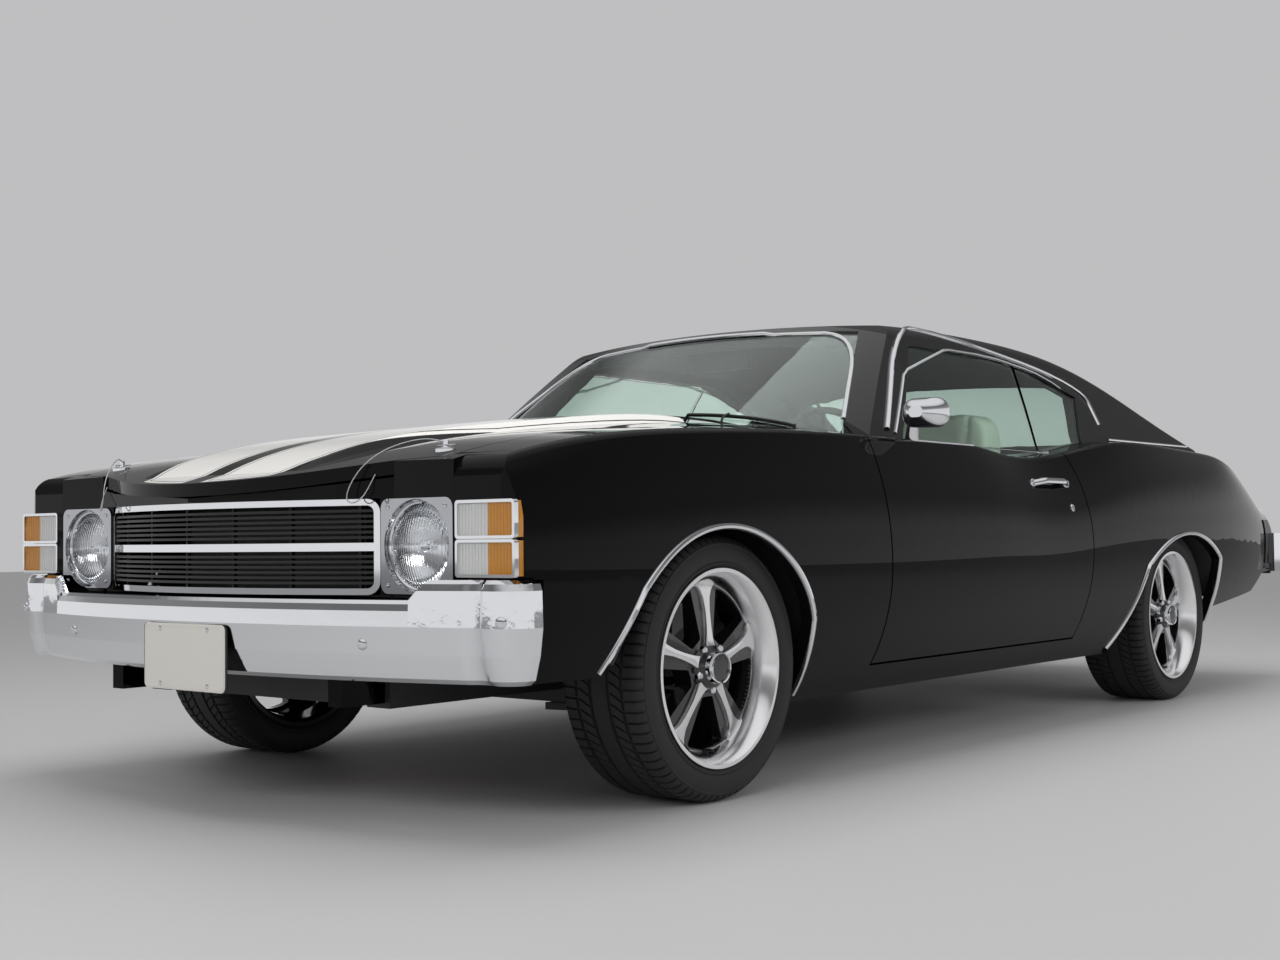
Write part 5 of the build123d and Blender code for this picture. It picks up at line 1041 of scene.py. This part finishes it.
class MUSCLECAR_OT_fittings(bpy.types.Operator):
    """Adds the door handles, locks, mirror glasses, wipers, hood pin rings and their lanyards"""

    bl_idname = "musclecar.fittings"
    bl_label = "Fittings"

    def execute(self, context):
        for ending, side in SIDES:
            add_door_fittings(ending, side)
            add_hood_pin(ending, side)
        screen = surface_of("windshield", "cowl", "roof")
        for k, (pivot, *ends) in enumerate(WIPERS, 1):
            line = [at(x, distance, CLEAR_TOP) for x, distance in ends]
            places, normals = laid_on(screen, spaced(line, 0.02), DOWN, WIPER_LIFT)
            blade = sweep_mesh(places, normals, WIPER_SECTION)
            show(f"Wiper_blade_{k}", blade, "Satin black trim")
            foot, _ = struck(screen, at(*pivot, CLEAR_TOP), DOWN)
            tip = places[len(places) // 2] + UP * 0.006
            arm = [foot + UP * 0.004, foot + UP * 0.016, foot.lerp(tip, 0.5) + UP * 0.012, tip]
            wire(f"Wiper_arm_{k}", arm, 0.0035, "Satin black trim", "body")
        probe = at(0.05, INNER_MIRROR_STATION + 0.2, INNER_MIRROR_Z)
        back, _ = struck(surface_of("inner_mirror"), probe, AHEAD)
        silver = plate_mesh((0, back.y, INNER_MIRROR_Z), BACK, 0.225, 0.050, 0.018, 0.001)
        show("Inner_mirror_glass", silver, "Mirror silver")
        return {"FINISHED"}


SEAT_X = 0.395
SEATS = [
    # piece, replaced node, centre (x, distance behind the front axle, height), half sizes, bluntness,
    # channels
    ("Front_cushion", "front_seats", (SEAT_X, 1.585, 0.415), (0.238, 0.250, 0.096), 0.30, 7),
    ("Front_backrest", "front_seats", (SEAT_X, 1.905, 0.760), (0.238, 0.074, 0.270), 0.30, 7),
    ("Rear_cushion", "rear_seat", (0.300, 2.268, 0.422), (0.296, 0.170, 0.100), 0.28, 8),
    ("Rear_backrest", "rear_seat", (0.300, 2.556, 0.706), (0.296, 0.105, 0.205), 0.28, 8),
]
CARD_X = 0.776
CRANK = [(-0.002, 0), (-0.002, 0.016), (0.01, 0.014), (0.014, 0.01), (0.014, 0)]
DIALS = [
    # x, z, radius
    (0.470, 0.806, 0.042), (0.372, 0.806, 0.042), (0.285, 0.812, 0.027), (0.555, 0.812, 0.027),
]
DIAL_MARKS, FIRST_MARK, DIAL_SWEEP, MARK_INNER, MARK_OUTER = 9, 225, 270, 0.014, 0.007
MARK_HALF_WIDTH, MARK_LIFT, MARK_THICKNESS = 0.0008, 0.0016, 0.0006
DASH_FACE_STATION = 1.018
LEVER = [(0.02, 1.36, 0.335), (0.02, 1.355, 0.42), (0.02, 1.385, 0.5)]


def mark_meshes(seat, radius):
    """Marks round a dial, standing on its face."""
    marks = []
    for k in range(DIAL_MARKS):
        turn = radians(FIRST_MARK - DIAL_SWEEP * k / (DIAL_MARKS - 1))
        outward = Vector((cos(turn), 0, sin(turn)))
        beside = Vector((-sin(turn), 0, cos(turn))) * MARK_HALF_WIDTH
        thick = BACK * MARK_THICKNESS
        ends = [seat + outward * (radius - inset) + BACK * MARK_LIFT for inset in (MARK_INNER, MARK_OUTER)]
        rows = [[p - beside, p + beside, p + beside + thick, p - beside + thick] for p in ends]
        marks.append(grid_mesh(rows, caps=True))
    return marks


class MUSCLECAR_OT_cabin(bpy.types.Operator):
    """Makes the padded seats, door trim, instruments and controls"""

    bl_idname = "musclecar.cabin"
    bl_label = "Cabin"

    def execute(self, context):
        for ending, side in SIDES:
            for name, node, (x, distance, z), half, power, channels in SEATS:
                stuffed = pillow_mesh((side * x, station(distance), z), half, power, channels)
                piece = show(f"{name}_{ending}", stuffed, "Pale seat vinyl", angle=60)
                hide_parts(node)
            x, card_x, door = side * SEAT_X, side * CARD_X, f"door_{ending}"
            base = box_mesh((x - 0.19, x + 0.19), (1.40, 1.78), (0.305, 0.330), 0.006, 2)
            show(f"Cushion_base_{ending}", base, "Chassis black")
            card = box_mesh((card_x, card_x - side * 0.008), (0.76, 1.93), (0.335, 0.845), 0.003, 2)
            show(f"Door_card_{ending}", card, "Pale seat vinyl", door)
            rest_x = (card_x - side * 0.006, card_x - side * 0.052)
            rest = box_mesh(rest_x, (1.36, 1.72), (0.590, 0.622), 0.012, 4)
            show(f"Arm_rest_{ending}", rest, "Pale seat vinyl", door)
            crank = lathe_mesh(CRANK, at(card_x - side * 0.007, 1.30, 0.560), (-side, 0, 0), 32)
            show(f"Window_crank_{ending}", crank, body=door)
        dashboard = surface_of("dashboard")
        bezels, faces, marks = [], [], []
        for x, z, radius in DIALS:
            seat, _ = struck(dashboard, at(x, 1.25, z), AHEAD)
            bezel = [
                (-0.004, radius - 0.004), (-0.004, radius), (0.006, radius), (0.007, radius - 0.003),
                (0.002, radius - 0.005),
            ]
            face = [(-0.003, 0), (-0.003, radius - 0.003), (0.0015, radius - 0.003), (0.0015, 0)]
            bezels.append(lathe_mesh(bezel, seat, BACK, 56, closed=True))
            faces.append(lathe_mesh(face, seat, BACK, 56))
            marks += mark_meshes(seat, radius)
        show("Dial_bezels", joined(bezels))
        show("Dial_faces", joined(faces), "Gloss black pocket")
        show("Dial_marks", joined(marks), "Plate white", angle=20)
        lid_depth = (DASH_FACE_STATION - 0.004, DASH_FACE_STATION + 0.003)
        show("Glove_lid", box_mesh((-0.60, -0.30), lid_depth, (0.765, 0.850), 0.003, 2), "Satin black trim")
        wire("Gear_lever", [at(*point) for point in LEVER], 0.006, "Bright chrome", "body")
        knob = pillow_mesh((0.02, station(1.388), 0.515), (0.021, 0.021, 0.024), 0.8, rows=20, columns=32)
        show("Gear_knob", knob, "Satin black trim")
        show("Console", box_mesh((-0.075, 0.115), (1.20, 1.62), (0.300, 0.345), 0.012, 4), "Satin black trim")
        return {"FINISHED"}


AIR_LID = [(-0.003, 0.0), (-0.003, 0.15), (0.001, 0.1515), (0.003, 0.149), (0.003, 0.0)]
AIR_NUT = [(-0.001, 0.0), (-0.001, 0.01), (0.006, 0.01), (0.006, 0.0)]
RADIATOR_CAP = [(-0.002, 0.0), (-0.002, 0.026), (0.01, 0.026), (0.013, 0.022), (0.013, 0.0)]
COVER_X, COVER_HALF_WIDTH = 0.235, 0.045


class MUSCLECAR_OT_enginebay(bpy.types.Operator):
    """Dresses the engine bay: air cleaner lid, valve covers, radiator cap and upper hose"""

    bl_idname = "musclecar.enginebay"
    bl_label = "Engine bay"

    def execute(self, context):
        engine, radiator = surface_of("engine"), surface_of("radiator")
        top, _ = struck(engine, at(0, 0.0, CLEAR_TOP), DOWN)
        show("Air_cleaner_lid", lathe_mesh(AIR_LID, top, UP, 96))
        show("Air_cleaner_nut", lathe_mesh(AIR_NUT, top + UP * 0.002, UP, 6), angle=20)
        for ending, side in SIDES:
            x = side * COVER_X
            foot = struck(engine, at(x, 0.0, CLEAR_TOP), DOWN)[0].z
            xs = (x - COVER_HALF_WIDTH, x + COVER_HALF_WIDTH)
            cover = box_mesh(xs, (-0.24, 0.24), (foot - 0.004, foot + 0.045), 0.014, 4)
            show(f"Valve_cover_{ending}", cover)
        neck, _ = struck(radiator, at(0.1, -0.585, CLEAR_TOP), DOWN)
        show("Radiator_cap", lathe_mesh(RADIATOR_CAP, neck, UP, 40))
        tank, _ = struck(radiator, at(0.18, -0.45, 0.66), AHEAD)
        block, _ = struck(engine, at(0.10, -0.45, 0.52), BACK)
        hose = [tank, tank + BACK * 0.06, block + Vector((0.02, -0.05, 0.0)), block]
        wire("Upper_hose", hose, 0.019, "Soft seal rubber", "body")
        return {"FINISHED"}


# Stage
CAMERA_PLACE = (3.14675, -4.6894, 0.62466)
CAMERA_HEADING, CAMERA_PITCH, CAMERA_ROLL = 39.10, 2.01, -0.61
SKY = [(0.0, 0.80), (0.10, 0.70), (0.24, 0.24), (0.50, 0.14), (0.62, 0.60), (0.80, 0.75)]
WALL = (0.52, 0.52, 0.53)
FLOOR_COLOUR, FLOOR_ROUGHNESS, FLOOR_REACH = (0.50, 0.50, 0.50, 1.0), 0.55, 30.0
LAMPS = [
    # name, place, target, size, power
    ("Roof softbox", (0.0, -0.2, 5.0), (0.0, 0.0, 0.0), (3.2, 6.5), 155.0),
    ("Front softbox", (1.8, -6.5, 3.2), (0.0, -1.5, 0.5), (3.0, 1.8), 85.0),
    ("Left softbox", (6.0, 0.5, 2.6), (0.0, 0.2, 0.6), (5.0, 1.4), 90.0),
]


def aim_camera(camera):
    """Turns the camera to its heading, pitch and roll."""
    heading, pitch, roll = (radians(v) for v in (CAMERA_HEADING, CAMERA_PITCH, CAMERA_ROLL))
    look = Vector((-sin(heading) * cos(pitch), cos(heading) * cos(pitch), sin(pitch)))
    right = Vector((cos(heading), sin(heading), 0.0))
    up = right.cross(look)
    across = right * cos(roll) + up * sin(roll)
    upright = up * cos(roll) - right * sin(roll)
    matrix = Matrix((across, upright, -look)).transposed().to_4x4()
    matrix.translation = Vector(CAMERA_PLACE)
    camera.matrix_world = matrix


def shade_sky(tree):
    """Plain pale wall all round; reflections see it brightest at the horizon and dark overhead."""
    place = add_node(tree, "TexCoord").outputs["Generated"]
    height = add_node(tree, "SeparateXYZ", {0: place}).outputs["Z"]
    ramp = add_node(tree, "ValToRGB", {0: height})
    ramp.color_ramp.interpolation = "EASE"
    while len(ramp.color_ramp.elements) < len(SKY):
        ramp.color_ramp.elements.new(0.5)
    for element, (position, value) in zip(ramp.color_ramp.elements, SKY):
        element.position = position
        element.color = (value, value, value * 1.01, 1.0)
    reflected = add_node(tree, "LightPath").outputs["Is Glossy Ray"]
    shown = mix_colours(tree, reflected, WALL, ramp.outputs[0])
    tree.links.new(shown, tree.nodes["Background"].inputs["Color"])


class MUSCLECAR_OT_stage(bpy.types.Operator):
    """Makes the floor, the backdrop, the lights and the camera"""

    bl_idname = "musclecar.stage"
    bl_label = "Stage"

    def execute(self, context):
        scene = context.scene
        scene.view_settings.view_transform = "Standard"
        floor_look = bpy.data.materials.new("Pale studio floor")
        floor_look.use_nodes = True
        principled(floor_look)["Base Color"].default_value = FLOOR_COLOUR
        principled(floor_look)["Roughness"].default_value = FLOOR_ROUGHNESS
        mesh = bpy.data.meshes.new("Studio floor")
        corners = [(sx * FLOOR_REACH, sy * FLOOR_REACH, 0) for sx, sy in ((-1, -1), (1, -1), (1, 1), (-1, 1))]
        mesh.from_pydata(corners, [], [(0, 1, 2, 3)])
        mesh.materials.append(floor_look)
        floor = bpy.data.objects.new("Studio floor", mesh)
        scene.collection.objects.link(floor)
        world = scene.world = bpy.data.worlds.new("Pale studio")
        world.use_nodes = True
        shade_sky(world.node_tree)
        for name, place, target, size, power in LAMPS:
            data = bpy.data.lights.new(name, "AREA")
            data.shape = "RECTANGLE"
            data.size, data.size_y = size
            data.energy = power
            lamp = bpy.data.objects.new(name, data)
            lamp.visible_glossy = False
            scene.collection.objects.link(lamp)
            lamp.location = place
            lamp.rotation_euler = (Vector(target) - Vector(place)).to_track_quat("-Z", "Y").to_euler()
        data = bpy.data.cameras.new("Camera")
        data.lens = scene.musclecar_look.lens_length
        data.sensor_width = 36.0
        camera = bpy.data.objects.new("Camera", data)
        scene.collection.objects.link(camera)
        aim_camera(camera)
        scene.camera = camera
        return {"FINISHED"}


OPERATORS = (
    MUSCLECAR_OT_paint,
    MUSCLECAR_OT_mouldings,
    MUSCLECAR_OT_wheels,
    MUSCLECAR_OT_tyres,
    MUSCLECAR_OT_lamps,
    MUSCLECAR_OT_bumpers,
    MUSCLECAR_OT_fittings,
    MUSCLECAR_OT_cabin,
    MUSCLECAR_OT_enginebay,
    MUSCLECAR_OT_stage,
)


class MUSCLECAR_PT_panel(bpy.types.Panel):
    """Lists the steps of the car's finish"""

    bl_idname = "MUSCLECAR_PT_panel"
    bl_label = "Muscle Car"
    bl_space_type = "VIEW_3D"
    bl_region_type = "UI"
    bl_category = "Muscle Car"

    def draw(self, context):
        for label in MusclecarLook.__annotations__:
            self.layout.prop(context.scene.musclecar_look, label)
        for operator in OPERATORS:
            self.layout.operator(operator.bl_idname)


CLASSES = (MusclecarLook, *OPERATORS, MUSCLECAR_PT_panel)


def register():
    for item in CLASSES:
        bpy.utils.register_class(item)
    bpy.types.Scene.musclecar_look = PointerProperty(type=MusclecarLook)


def unregister():
    del bpy.types.Scene.musclecar_look
    for item in reversed(CLASSES):
        bpy.utils.unregister_class(item)


def main():
    register()
    for operator in OPERATORS:
        getattr(bpy.ops.musclecar, operator.bl_idname.split(".")[1])()


if __name__ == "__main__":
    main()
